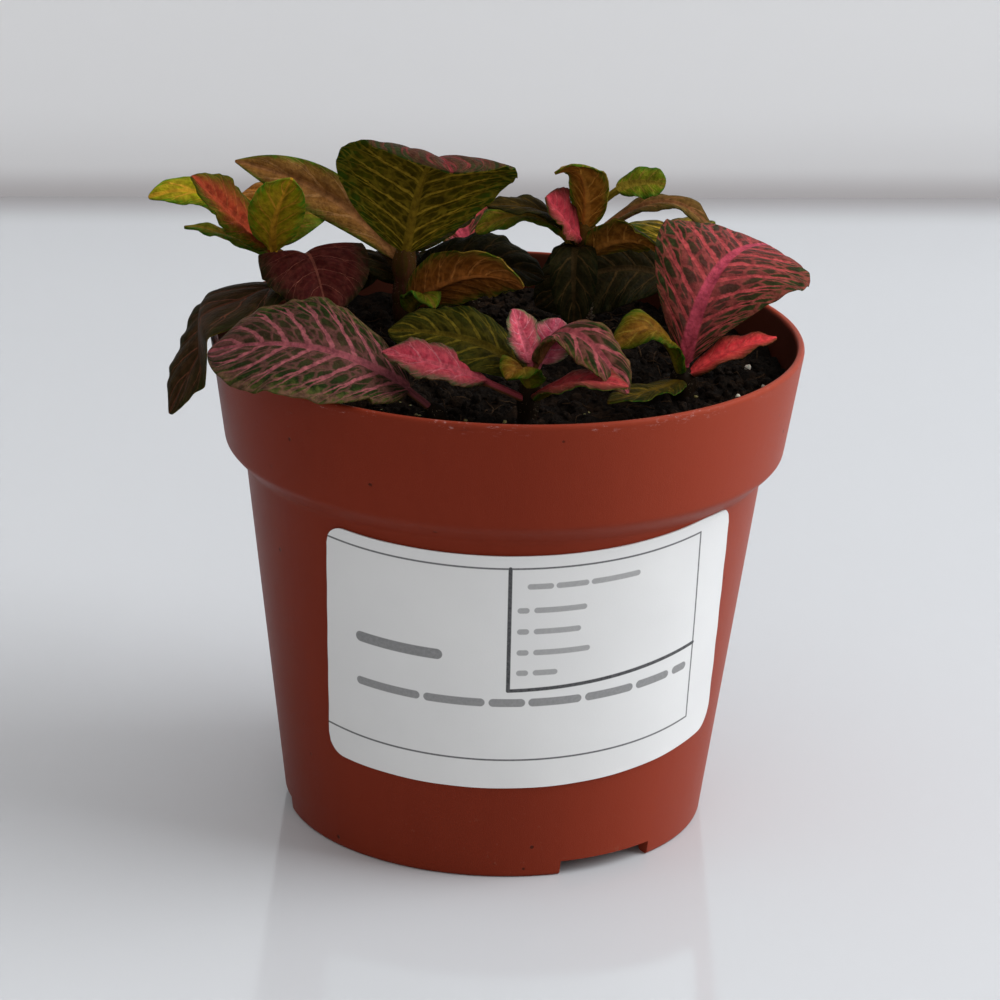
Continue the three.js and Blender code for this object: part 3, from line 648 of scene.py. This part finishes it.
def from_rim_edge(g, x, y, z):
    from_axis = g.math("POWER", g.add(g.mul(x, x), g.mul(y, y)), 0.5)
    slope = g.mul(g.add(z, -POT_HEIGHT), -0.15)
    return g.math("SUBTRACT", RIM_RADIUS - 0.35, g.add(from_axis, slope))


def inner_shade_and_stain(g, cloud, y, z, inwards):
    """Painted shade inside the band, with a compost stain, up to an uneven line that reaches higher at the
    back.
    """
    top = g.add(g.mul(cloud, 1.4), g.mul(g.step(y, 20.0, 34.0), -1.2))
    shade_stain = g.mul(g.step(inwards, 0.45, 0.7), g.step(g.add(z, top), POT_HEIGHT + 0.7, POT_HEIGHT))
    return g.mul(shade_stain, g.step(z, POT_HEIGHT - BAND_HEIGHT, POT_HEIGHT - BAND_HEIGHT + 1.0))


def rim_rub(g, place, z, inwards):
    """Pale rubbed patches on the rim's outer edge."""
    lines = g.noise(g.stretch(place, (0.7, 0.7, 2.4)), 1.1, 5.0, 0.8)
    rub = g.mul(g.step(lines, 0.56, 0.66), g.step(z, POT_HEIGHT - 1.9, POT_HEIGHT - 0.3))
    patches = g.step(g.noise(place, 0.16, 1.0), 0.47, 0.56)
    return g.mul(rub, g.mul(patches, g.step(inwards, 0.4, 0.0)))


def pot_plastic():
    g = Graph("pot_plastic")
    place = object_mm(g)
    x, y, z = g.split(place)
    cloud = g.noise(place, 0.035, 4.0, 0.6)
    flow = g.noise(g.stretch(place, (1, 1, 0.06)), 0.5, 4.0, 0.6)
    grain = g.noise(place, 6.0, 3.0)
    dust, scuff = pot_dust(g, place, z), band_scuffs(g, place, z)
    inwards = from_rim_edge(g, x, y, z)
    specks = g.step(g.cells(place, 0.22, "F1"), 0.085, 0.05)
    specks = g.mul(specks, g.step(g.noise(place, 0.12, 1.0), 0.56, 0.6))
    colour = g.mix(cloud, (115, 41, 25), (124, 46, 28))
    colour = g.mix(g.mul(flow, 0.35), colour, (102, 36, 21))
    # Painted light: the pot's colour gets lighter towards its right side, which faces the window lamp.
    colour = g.mix(g.mul(g.step(x, -2.0, 40.0), 0.85), colour, (150, 62, 43))
    colour = g.mix(dust, colour, (140, 92, 74))
    colour = g.mix(g.mul(scuff, 0.4), colour, (118, 76, 62))
    # Painted shade with a compost stain darkens the inside of the band.
    colour = g.mix(g.mul(inner_shade_and_stain(g, cloud, y, z, inwards), 0.85), colour, (46, 26, 17))
    colour = g.mix(g.mul(rim_rub(g, place, z, inwards), 0.6), colour, (178, 138, 134))
    colour = g.mix(g.mul(specks, 0.8), colour, (52, 26, 18))
    rough = g.add(g.mul(cloud, 0.12), g.mul(grain, 0.06))
    rough = g.add(g.add(rough, g.mul(g.most(scuff, dust), 0.25)), 0.3)
    normal = g.bump(g.add(grain, g.mul(flow, 0.8)), 0.00003)
    normal = g.bump(g.add(scuff, g.mul(specks, -1.0)), 0.00005, normal)
    return g.finish(colour, rough, normal, 0.045, (0.04, 0.001, (1.0, 0.3, 0.15)))


def peat(name, low, high, wet):
    g = Graph(name)
    place = object_mm(g)
    cloud = g.noise(place, 0.25, 5.0, 0.65)
    grain = g.noise(place, 2.2, 6.0, 0.7)
    colour = g.mix(g.step(grain, 0.35, 0.75), low, high)
    colour = g.mix(g.mul(g.step(cloud, 0.5, 0.7), 0.5), colour, (58, 42, 30))
    normal = g.bump(g.add(grain, g.mul(g.cells(place, 1.1), 0.6)), 0.0005)
    return g.finish(colour, g.step(cloud, 0.3, 0.7, (wet, 0.95)), normal, 0.04)


def speckled(name, low, high, rough, glow=0.0):
    g = Graph(name)
    place = object_mm(g)
    grain = g.noise(place, 3.0, 4.0, 0.6)
    rough = g.add(g.mul(grain, 0.2), rough)
    return g.finish(g.mix(grain, low, high), rough, g.bump(grain, 0.0002), glow=(glow, 0.0008))


def bar_mark(g, x, y, bar):
    """A bar with round ends, from both ends, half its width and its strength."""
    x0, y0, x1, y1, half, strength = bar
    run = Vector((x1 - x0, y1 - y0))
    length = run.length
    tangent = run / length
    dx, dy = g.add(x, -x0), g.add(y, -y0)
    along = g.add(g.mul(dx, tangent.x), g.mul(dy, tangent.y))
    off = g.math("ABSOLUTE", g.add(g.mul(dy, tangent.x), g.mul(dx, -tangent.y)))
    past = g.most(g.most(g.mul(along, -1.0), g.add(along, -length)), 0.0)
    reach = g.math("POWER", g.add(g.mul(off, off), g.mul(past, past)), 0.5)
    return g.mul(g.step(reach, half + 0.07, half - 0.05), strength)


def label_paper(bars):
    g = Graph("label_paper")
    place = g.field("sheet")[1]
    x, y, _ = g.split(place)
    fibre = g.noise(place, 3.5, 5.0, 0.7)
    cloud = g.noise(place, 0.06, 3.0)
    colour = g.mix(cloud, (214, 214, 214), (226, 226, 225))
    colour = g.mix(g.mul(g.step(fibre, 0.55, 0.8), 0.12), colour, (190, 190, 190))
    ink = bar_mark(g, x, y, bars[0])
    for bar in bars[1:]:
        ink = g.most(ink, bar_mark(g, x, y, bar))
    patch = g.add(g.mul(g.noise(place, 2.2, 3.0), 0.25), 0.82)
    colour = g.mix(g.mul(ink, patch), colour, (38, 38, 42))
    return g.finish(colour, g.add(g.mul(fibre, 0.1), 0.4), g.bump(fibre, 0.00002), 0.4)


# Pot

def wall_radius(z):
    return BASE_RADIUS + (BODY_TOP_RADIUS - BASE_RADIUS) * z / BODY_TOP_Z


def round_corners(profile, radius=0.35, steps=3):
    """Each inner corner of an open profile becomes a short curve."""
    profile = np.array(profile, float)
    out = [profile[0]]
    for a, b, c in zip(profile, profile[1:], profile[2:]):
        reach = min(radius, np.linalg.norm(b - a) / 2.2, np.linalg.norm(c - b) / 2.2)
        p, q = b + unit(a - b) * reach, b + unit(c - b) * reach
        for t in np.linspace(0, 1, steps + 1):
            out.append((1 - t) ** 2 * p + 2 * t * (1 - t) * b + t * t * q)
    out.append(profile[-1])
    return np.array(out)


def pot_profile():
    """Half of the pot's section, from the floor's underside round the rim to the floor's top."""
    foot, floor = BASE_RADIUS - FOOT_RING_WIDTH, wall_radius(FLOOR_TOP_Z) - WALL
    wall, wall_z, rim = BODY_TOP_RADIUS, BODY_TOP_Z, RIM_RADIUS - RIM_WALL
    band, band_z = BAND_FOOT_RADIUS, POT_HEIGHT - BAND_HEIGHT
    return [
        (0, FLOOR_UNDER_Z), (foot - 0.5, FLOOR_UNDER_Z), (foot, FLOOR_UNDER_Z - 0.5), (foot, 0),
        (BASE_RADIUS - 0.3, 0), (BASE_RADIUS, 0.4), (wall, wall_z), (wall + 1.3, wall_z + 1.25),
        (wall + 2.4, wall_z + 2.3), (band - 0.15, wall_z + 3), (band, band_z), (RIM_RADIUS, POT_HEIGHT - 0.5),
        (RIM_RADIUS - 0.2, POT_HEIGHT), (rim + 0.2, POT_HEIGHT), (rim, POT_HEIGHT - 0.5),
        (band - RIM_WALL, band_z + 0.4), (band - RIM_WALL - 0.2, wall_z + 3.5), (wall + 1.4, wall_z + 2.8),
        (wall + 0.5, wall_z + 1.9), (wall - WALL, wall_z + 0.5), (floor + 0.1, FLOOR_TOP_Z + 1.2),
        (floor - 1, FLOOR_TOP_Z), (0, FLOOR_TOP_Z),
    ]


def notch_cutters():
    near, far = NOTCH_SPAN
    half = NOTCH_HALF_WIDTH
    outline = ((-half, -far), (half, -far), (half, -near), (-half, -near))
    cutters = []
    for angle in NOTCH_ANGLES:
        corners = np.array([(x, y, z) for z in (-2, NOTCH_HEIGHT) for x, y in outline], float)
        c, s = cos(radians(angle)), sin(radians(angle))
        corners[:, :2] = corners[:, :2] @ np.array([[c, s], [-s, c]])
        cutters.append(new_object(f"notch_{angle}", corners, tube_faces(2, 4), []))
    return cutters


def drain_cutters():
    holes = [(0, 0, MID_DRAIN_RADIUS)]
    for a in np.arange(6) * pi / 3:
        holes.append((DRAIN_CIRCLE * cos(a), DRAIN_CIRCLE * sin(a), DRAIN_RADIUS))
    cutters = []
    for k, (x, y, radius) in enumerate(holes):
        drum = np.concatenate([ring(radius, z, 36) + (x, y, 0) for z in DRAIN_SPAN])
        cutters.append(new_object(f"drain_{k}", drum, tube_faces(2, 36), []))
    return cutters


def cut_away(target, cutters):
    for cutter in cutters:
        change = target.modifiers.new("cut", "BOOLEAN")
        change.operation = "DIFFERENCE"
        change.solver = "EXACT"
        change.object = cutter
    bpy.context.view_layer.update()
    depsgraph = bpy.context.evaluated_depsgraph_get()
    solid = bpy.data.meshes.new_from_object(target.evaluated_get(depsgraph))
    target.modifiers.clear()
    target.data = solid
    for cutter in cutters:
        bpy.data.objects.remove(cutter)


def build_pot(material):
    curve = round_corners(pot_profile(), 0.6)[1:-1]
    points = np.concatenate([ring(radius, z, POT_SIDES) for radius, z in curve]).tolist()
    faces = grid_faces(len(curve), POT_SIDES, closed=True)
    low, top = len(points), len(points) + 1
    points += [[0, 0, FLOOR_UNDER_Z], [0, 0, FLOOR_TOP_Z]]
    last = (len(curve) - 1) * POT_SIDES
    for k in range(POT_SIDES):
        after = (k + 1) % POT_SIDES
        faces += [[low, after, k], [top, last + k, last + after]]
    pot = new_object("pot_body", points, faces, [material])
    cut_away(pot, notch_cutters() + drain_cutters())
    pot.data.polygons.foreach_set("use_smooth", [True] * len(pot.data.polygons))
    pot.data.set_sharp_from_angle(angle=radians(32))
    return pot


# Label

LABEL_WIDTH, LABEL_HEIGHT, LABEL_CORNER = 64.0, 36.6, 3.0
LABEL_MID_Z, LABEL_AZIMUTH, LABEL_TILT = 32.9, 9.9, 1.8
LABEL_COLUMNS, LABEL_ROWS = 150, 80


def label_point(x, y, out):
    """A point of the flat label laid on the wall, out mm off it, and bent at the shoulder."""
    slope = atan((BODY_TOP_RADIUS - BASE_RADIUS) / BODY_TOP_Z)
    apex = wall_radius(LABEL_MID_Z) / sin(slope)
    tilt = radians(LABEL_TILT)
    across = x * cos(tilt) - y * sin(tilt)
    upward = x * sin(tilt) + y * cos(tilt)
    reach = np.hypot(across, apex + upward)
    turn = np.arctan2(across, apex + upward) / sin(slope) + radians(LABEL_AZIMUTH)
    height = LABEL_MID_Z + (reach - apex) * cos(slope)
    bent = np.maximum(0, height - BODY_TOP_Z) * sqrt(0.5)
    z = np.minimum(height, BODY_TOP_Z) + bent
    radius = wall_radius(np.minimum(height, BODY_TOP_Z)) + bent + out
    return np.stack([radius * np.sin(turn), -radius * np.cos(turn), z], -1)


def build_label(material):
    half_w, half_h = LABEL_WIDTH / 2, LABEL_HEIGHT / 2
    x = half_w * np.sin(np.linspace(-1, 1, LABEL_COLUMNS) * pi / 2) * 0.35
    x = x + np.linspace(-half_w, half_w, LABEL_COLUMNS) * 0.65
    past = np.maximum(0, np.abs(x) - (half_w - LABEL_CORNER))
    half = half_h - LABEL_CORNER + np.sqrt(np.maximum(0, LABEL_CORNER ** 2 - past ** 2))
    grid_x = np.repeat(x[:, None], LABEL_ROWS, 1)
    grid_y = half[:, None] * np.linspace(-1, 1, LABEL_ROWS)[None]
    edge = np.minimum(half_w - np.abs(grid_x), half[:, None] - np.abs(grid_y))
    bubble = 0.03 * np.sin(0.31 * grid_x + 0.4 * np.sin(0.2 * grid_y)) * np.sin(0.23 * grid_y + 1)
    curl = 0.05 * np.exp(-edge / 0.8) * (0.5 + 0.5 * np.sin(0.7 * grid_x + grid_y))
    outer = label_point(grid_x, grid_y, 0.27 + bubble + curl)
    inner = label_point(grid_x, grid_y, 0.06)
    top, low, rim = sheet_faces(LABEL_COLUMNS, LABEL_ROWS)
    points = np.concatenate([outer.reshape(-1, 3), inner.reshape(-1, 3)])
    label = new_object("label_sheet", points, top + low + rim, [material], sharp=40)
    sheet = np.stack([grid_x, grid_y, np.zeros_like(grid_x)], -1).reshape(-1, 3)
    sheet = np.concatenate([sheet, sheet])
    point_field(label, "sheet", sheet)
    point_uv(label, sheet[:, :2] / 64 + 0.5)
    return label


# Compost

def soil_height(x, y):
    lumps = np.sin(1.3 * x + 0.6 * y) + np.sin(-0.9 * x + 1.7 * y + 1) + np.sin(0.5 * x - 1.1 * y + 4)
    fine = np.sin(3.1 * x - 2.2 * y + 2) * np.sin(2.7 * y + 1.9 * x)
    fine = fine + 0.6 * np.sin(5.3 * x + 4.4 * y) * np.sin(6.1 * y - 3.7 * x)
    return SOIL_LEVEL + 0.275 * lumps + 0.22 * fine


def build_soil(material):
    floor, shoulder, band = wall_radius(FLOOR_TOP_Z) - WALL, BODY_TOP_RADIUS, BAND_FOOT_RADIUS - RIM_WALL
    side = [
        (floor - 1.4 - SOIL_GAP, FLOOR_TOP_Z + 0.3), (floor - SOIL_GAP, FLOOR_TOP_Z + 1.8),
        (shoulder - WALL - SOIL_GAP, BODY_TOP_Z + 0.7), (shoulder + 0.2, BODY_TOP_Z + 2.15),
        (shoulder + 1.1, BODY_TOP_Z + 3.05), (band - 0.2 - SOIL_GAP, BODY_TOP_Z + 3.7),
        (band + 0.65 - SOIL_GAP, POT_HEIGHT - BAND_HEIGHT + 4.6),
    ]
    points = [ring(radius, z, SOIL_SIDES) for radius, z in side]
    for radius in np.linspace(band + 1.35 - SOIL_GAP, 0.3, SOIL_RINGS):
        circle = ring(radius, 0.0, SOIL_SIDES)
        circle[:, 2] = soil_height(circle[:, 0], circle[:, 1])
        points.append(circle)
    return new_object("compost", np.concatenate(points), tube_faces(len(points), SOIL_SIDES), [material])


def lump_shapes(rng, kinds):
    ball = bmesh.new()
    bmesh.ops.create_icosphere(ball, subdivisions=2, radius=1.0)
    base = np.array([v.co[:] for v in ball.verts])
    faces = np.array([[v.index for v in f.verts] for f in ball.faces])
    ball.free()
    shapes = []
    for _ in range(kinds):
        waves = rng.standard_normal((6, 3)) * 2.2
        bumps = sum(np.sin(base @ w + rng.uniform(0, 6)) for w in waves) / 6
        shapes.append(base * (1 + 0.45 * bumps)[:, None] * rng.uniform(0.6, 1.15, 3))
    return shapes, faces


def scatter(name, material, rng, count, size, where, squash=1.0, sunk=0.25, smooth=False):
    """Lumps of random size and turn on the compost."""
    shapes, base_faces = lump_shapes(rng, 8)
    points, faces, start = [], [], 0
    for _ in range(count):
        x, y = where(rng)
        scale = size(rng)
        turn = np.linalg.qr(rng.standard_normal((3, 3)))[0]
        if np.linalg.det(turn) < 0:
            turn[:, 0] *= -1
        lump = shapes[rng.integers(8)] @ turn.T * scale
        lump[:, 2] *= squash
        lump += (x, y, soil_height(x, y) + scale * squash * (0.5 - sunk * 2))
        points.append(lump)
        faces.append(base_faces + start)
        start += len(lump)
    return new_object(name, np.concatenate(points), np.concatenate(faces).tolist(), [material], smooth=smooth)


def disc(rng, limit=SCATTER_RADIUS):
    radius, turn = limit * sqrt(rng.uniform()), rng.uniform(0, 2 * pi)
    return radius * sin(turn), -radius * cos(turn)


def front(rng):
    """A place on the open strip of compost at the front."""
    turn = radians(rng.uniform(-40, 80))
    radius = rng.uniform(20, 34)
    return radius * sin(turn), -radius * cos(turn)


def hairs(name, material, rng, per_mm):
    """Fine hairs on every stem above the compost."""
    points, faces = [], []
    for stem in STEMS.values():
        path = np.array(stem.path, float)
        for _ in range(int(per_mm * (path[-1, 2] - SOIL_LEVEL))):
            z = rng.uniform(SOIL_LEVEL + 1, path[-1, 2] - 0.5)
            radius = np.interp(z, path[[0, -1], 2], stem.radii)
            turn, rise = rng.uniform(0, 2 * pi), rng.uniform(-0.3, 0.6)
            out = unit(np.array([cos(turn), sin(turn), rise]))
            foot = stem_point(path, z) + out * (radius - 0.15)
            side = unit(np.cross(out, (0, 0, 1.0)))
            up = np.cross(side, out)
            start = len(points)
            for a in (0, 2.1, 4.2):
                points.append(foot + (side * cos(a) + up * sin(a)) * 0.035)
            points.append(foot + out * rng.uniform(0.4, 0.85))
            corners = ((0, 1, 3), (1, 2, 3), (2, 0, 3), (2, 1, 0))
            faces += [(start + a, start + b, start + c) for a, b, c in corners]
    return new_object(name, np.array(points), faces, [material])


def fibres(name, material, rng, count):
    points, faces, start = [], [], 0
    steps, around = 7, turns(4)
    t = np.linspace(-0.5, 0.5, steps)
    for _ in range(count):
        x, y = disc(rng, 37.5)
        turn = rng.uniform(0, 2 * pi)
        length = rng.uniform(2, 6)
        curl = rng.uniform(-0.5, 0.5)
        px = x + length * (t * cos(turn) - curl * t * t * sin(turn))
        py = y + length * (t * sin(turn) + curl * t * t * cos(turn))
        keep = SCATTER_RADIUS / np.maximum(np.hypot(px, py), SCATTER_RADIUS)
        px, py = px * keep, py * keep
        pz = soil_height(px, py) + 0.2 + rng.uniform(0, 0.6) * (1 - 4 * t * t)
        radius = rng.uniform(0.07, 0.16) * (1 - 1.6 * np.abs(t))
        out, rise = np.cos(around) * radius[:, None], np.sin(around) * radius[:, None]
        rings = (px[:, None] - out * sin(turn), py[:, None] + out * cos(turn), pz[:, None] + rise)
        points.append(np.stack(rings, -1).reshape(-1, 3))
        faces += grid_faces(steps, 4, start, closed=True)
        start += steps * 4
    return new_object(name, np.concatenate(points), faces, [material])


# The object

rng = np.random.default_rng(11)
body = "root"

pot = build_pot(pot_plastic())
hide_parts("pot")
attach(pot, body)

# Lines on the label in mm from its middle: both ends, half the width, strength.
ruled = [
    (-32.0, 16.4, 25.3, 16.4, 0.13, 0.9),
    (25.3, 16.4, 25.3, -13.9, 0.13, 0.9),
    (-32.0, -13.6, 25.3, -13.9, 0.13, 0.9),
    (-4.4, 16.4, -4.4, -2.7, 0.27, 1.0),
    (-4.4, -2.7, 25.3, -1.5, 0.27, 1.0),
]
# Rows of plain bars: height, half the width, strength, ends of each bar.
wide_row = [(-26.0, -17.4), (-15.6, -8.2), (-6.4, -2.6), (-0.9, 5.4), (7.2, 13.4), (15.2, 19.8), (21.8, 23.4)]
rows = [
    (2.4, 0.8, 0.75, [(-26.0, -14.4)]),
    (-4.6, 0.62, 0.7, wide_row),
    (13.6, 0.42, 0.55, [(-1.6, 1.2), (2.4, 6.2), (7.4, 14.0)]),
]
for y, end in ((9.9, 6.0), (6.6, 5.2), (3.3, 6.6), (0.1, 2.0)):
    rows.append((y, 0.42, 0.55, [(-2.9, -2.1), (-0.6, end)]))
plain_bars = [(x0, y, x1, y, half, tone) for y, half, tone, spans in rows for x0, x1 in spans]
label = build_label(label_paper(ruled + plain_bars))
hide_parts("label")
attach(label, body)

soil = build_soil(peat("peat_ground", (12, 9, 7), (34, 26, 20), 0.7))
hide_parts("soil")
crumbs = scatter("crumbs", peat("peat_crumb", (14, 11, 9), (44, 34, 26), 0.7), rng, 1900,
                 lambda r: r.uniform(0.25, 0.6) if r.uniform() < 0.7 else r.uniform(0.6, 1.25), disc)
beads = scatter("beads", speckled("perlite", (196, 188, 168), (222, 216, 200), 0.6, 0.1), rng, 16,
                lambda r: r.uniform(0.3, 0.62), disc, smooth=True, sunk=0.1)
bits = scatter("bits", speckled("leaf_bits", (98, 90, 42), (136, 124, 66), 0.5, 0.1), rng, 26,
               lambda r: r.uniform(0.2, 0.45), front, squash=0.7, smooth=True, sunk=-0.1)
threads = fibres("threads", peat("peat_thread", (46, 34, 24), (84, 62, 42), 0.6), rng, 170)
for piece in (soil, crumbs, beads, bits, threads):
    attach(piece, body)

leaf_materials = [leaf_upper(), leaf_lower(), stem_skin()]
for name, stem in STEMS.items():
    made = leafy_stem(name + "_leaves", stem, leaf_materials, rng)
    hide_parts(name)
    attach(made, body)

fuzz = hairs("stem_hairs", speckled("hair", (98, 82, 62), (142, 124, 100), 0.5), rng, 18)
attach(fuzz, body)

# Stage, lights and camera

# Where the wall meets the table behind the pot, and the slope of that line.
EDGE_Y, EDGE_TURN = 332.0, 0.115
STAGE_HALF, TABLE_FRONT, WALL_HEIGHT = 1500, -1300, 1200


def open_back(g):
    """Lets a view from behind the wall look through it."""
    output = next(node for node in g.tree.nodes if node.type == "OUTPUT_MATERIAL")
    front = output.inputs["Surface"].links[0].from_socket
    behind = g.node("NewGeometry").outputs["Backfacing"]
    clear = g.node("BsdfTransparent").outputs[0]
    g.put(output.inputs["Surface"], g.node("MixShader", {0: behind, 1: front, 2: clear}).outputs[0])


def stage_material(name, low, high, edge, rough, specular, wall=False):
    """Plain paint or laminate, with painted shade darkening it where the table meets the wall."""
    g = Graph(name)
    place = object_mm(g)
    x, y, z = g.split(place)
    # Painted shade of that corner, in the colour edge: on the wall it fades out by 22 mm up, on the table by
    # 24 mm out from the wall's line.
    if wall:
        near = g.add(g.mul(g.step(z, 7.5, 0.5), 0.75), g.mul(g.step(z, 22.0, 4.0), 0.25))
    else:
        near = g.step(g.add(g.math("SUBTRACT", EDGE_Y, y), g.mul(x, EDGE_TURN)), 24.0, -2.0)
    colour = g.mix(near, g.mix(g.noise(place, 0.004, 2.0), low, high), edge)
    made = g.finish(colour, rough, g.bump(g.noise(place, 0.02, 2.0), 0.00002), specular)
    if wall:
        open_back(g)
    return made


def plane(name, corners, material):
    made = new_object(name, corners, [[0, 1, 2, 3]], [material], smooth=False)
    return made


left_y, right_y = EDGE_Y - STAGE_HALF * EDGE_TURN, EDGE_Y + STAGE_HALF * EDGE_TURN
far_left, far_right = (-STAGE_HALF, left_y, 0), (STAGE_HALF, right_y, 0)
# The third colour of each stage material is its painted shade where the table meets the wall.
plane("table", [(-STAGE_HALF, TABLE_FRONT, 0), (STAGE_HALF, TABLE_FRONT, 0), far_right, far_left],
      stage_material("table_top", (192, 194, 197), (197, 199, 202), (154, 152, 153), 0.1, 0.4))
high_left, high_right = (-STAGE_HALF, left_y, WALL_HEIGHT), (STAGE_HALF, right_y, WALL_HEIGHT)
plane("backdrop", [far_left, far_right, high_right, high_left],
      stage_material("wall_paint", (221, 221, 222), (225, 225, 226), (188, 185, 186), 0.5, 0.3, True))


def area_light(name, place, target, size, power, colour):
    light = bpy.data.lights.new(name, "AREA")
    light.shape = "RECTANGLE"
    light.size, light.size_y = size
    light.energy = power
    light.color = colour
    made = add_object(name, light)
    place, target = Vector(to_frame(place)), Vector(to_frame(target))
    made.location = place
    made.rotation_euler = (target - place).to_track_quat("-Z", "Y").to_euler()


area_light("window", (1150, -80, 920), (0, 0, 40), (1.1, 1.1), 23.5, (0.95, 0.975, 1.0))
area_light("ceiling", (-60, -60, 900), (0, 0, 0), (1.2, 1.0), 3.0, (1.0, 0.99, 0.98))
area_light("front_fill", (-120, -900, 330), (0, 0, 40), (0.9, 0.6), 1.9, (1.0, 0.99, 0.97))

world = bpy.data.worlds.new("room")
world.use_nodes = True
background = world.node_tree.nodes["Background"].inputs
background["Color"].default_value = (0.9, 0.88, 0.87, 1)
background["Strength"].default_value = 0.31
bpy.context.scene.world = world
bpy.context.scene.view_settings.view_transform = "Standard"
bpy.context.scene.view_settings.look = "None"

# The photo's camera: mm, degrees and pixels of a picture 1000 pixels wide.
PHOTO_DISTANCE, PHOTO_ELEVATION, PHOTO_TARGET_Z = 640.0, 19.85, 40
PHOTO_YAW, PHOTO_PITCH, PHOTO_ROLL = -0.03, 0.51, 1.87
PHOTO_FOCAL, PHOTO_WIDTH, SENSOR_WIDTH = 4400, 1000, 36


def photo_camera():
    elevation = radians(PHOTO_ELEVATION)
    yaw, pitch, roll = map(radians, (PHOTO_YAW, PHOTO_PITCH, PHOTO_ROLL))
    back, high = PHOTO_DISTANCE * cos(elevation), PHOTO_DISTANCE * sin(elevation)
    ahead = np.array([0, cos(elevation), -sin(elevation)])
    right = np.array([1.0, 0, 0])
    up = np.cross(right, ahead)
    level = ahead * cos(yaw) + right * sin(yaw)
    ahead = level * cos(pitch) + up * sin(pitch)
    side = unit(np.cross(ahead, up))
    top = np.cross(side, ahead)
    right = side * cos(roll) + top * sin(roll)
    up = -side * sin(roll) + top * cos(roll)
    data = bpy.data.cameras.new("photo_view")
    data.sensor_width = SENSOR_WIDTH
    data.lens = PHOTO_FOCAL / PHOTO_WIDTH * SENSOR_WIDTH
    data.clip_start, data.clip_end = 0.01, 20
    made = add_object("photo_view", data)
    place = Vector(to_frame([0, -back, PHOTO_TARGET_Z + high]))
    turn = Matrix(np.stack([right, up, -ahead], 1).tolist())
    made.matrix_world = Matrix.Translation(place) @ turn.to_4x4()
    bpy.context.scene.camera = made


photo_camera()
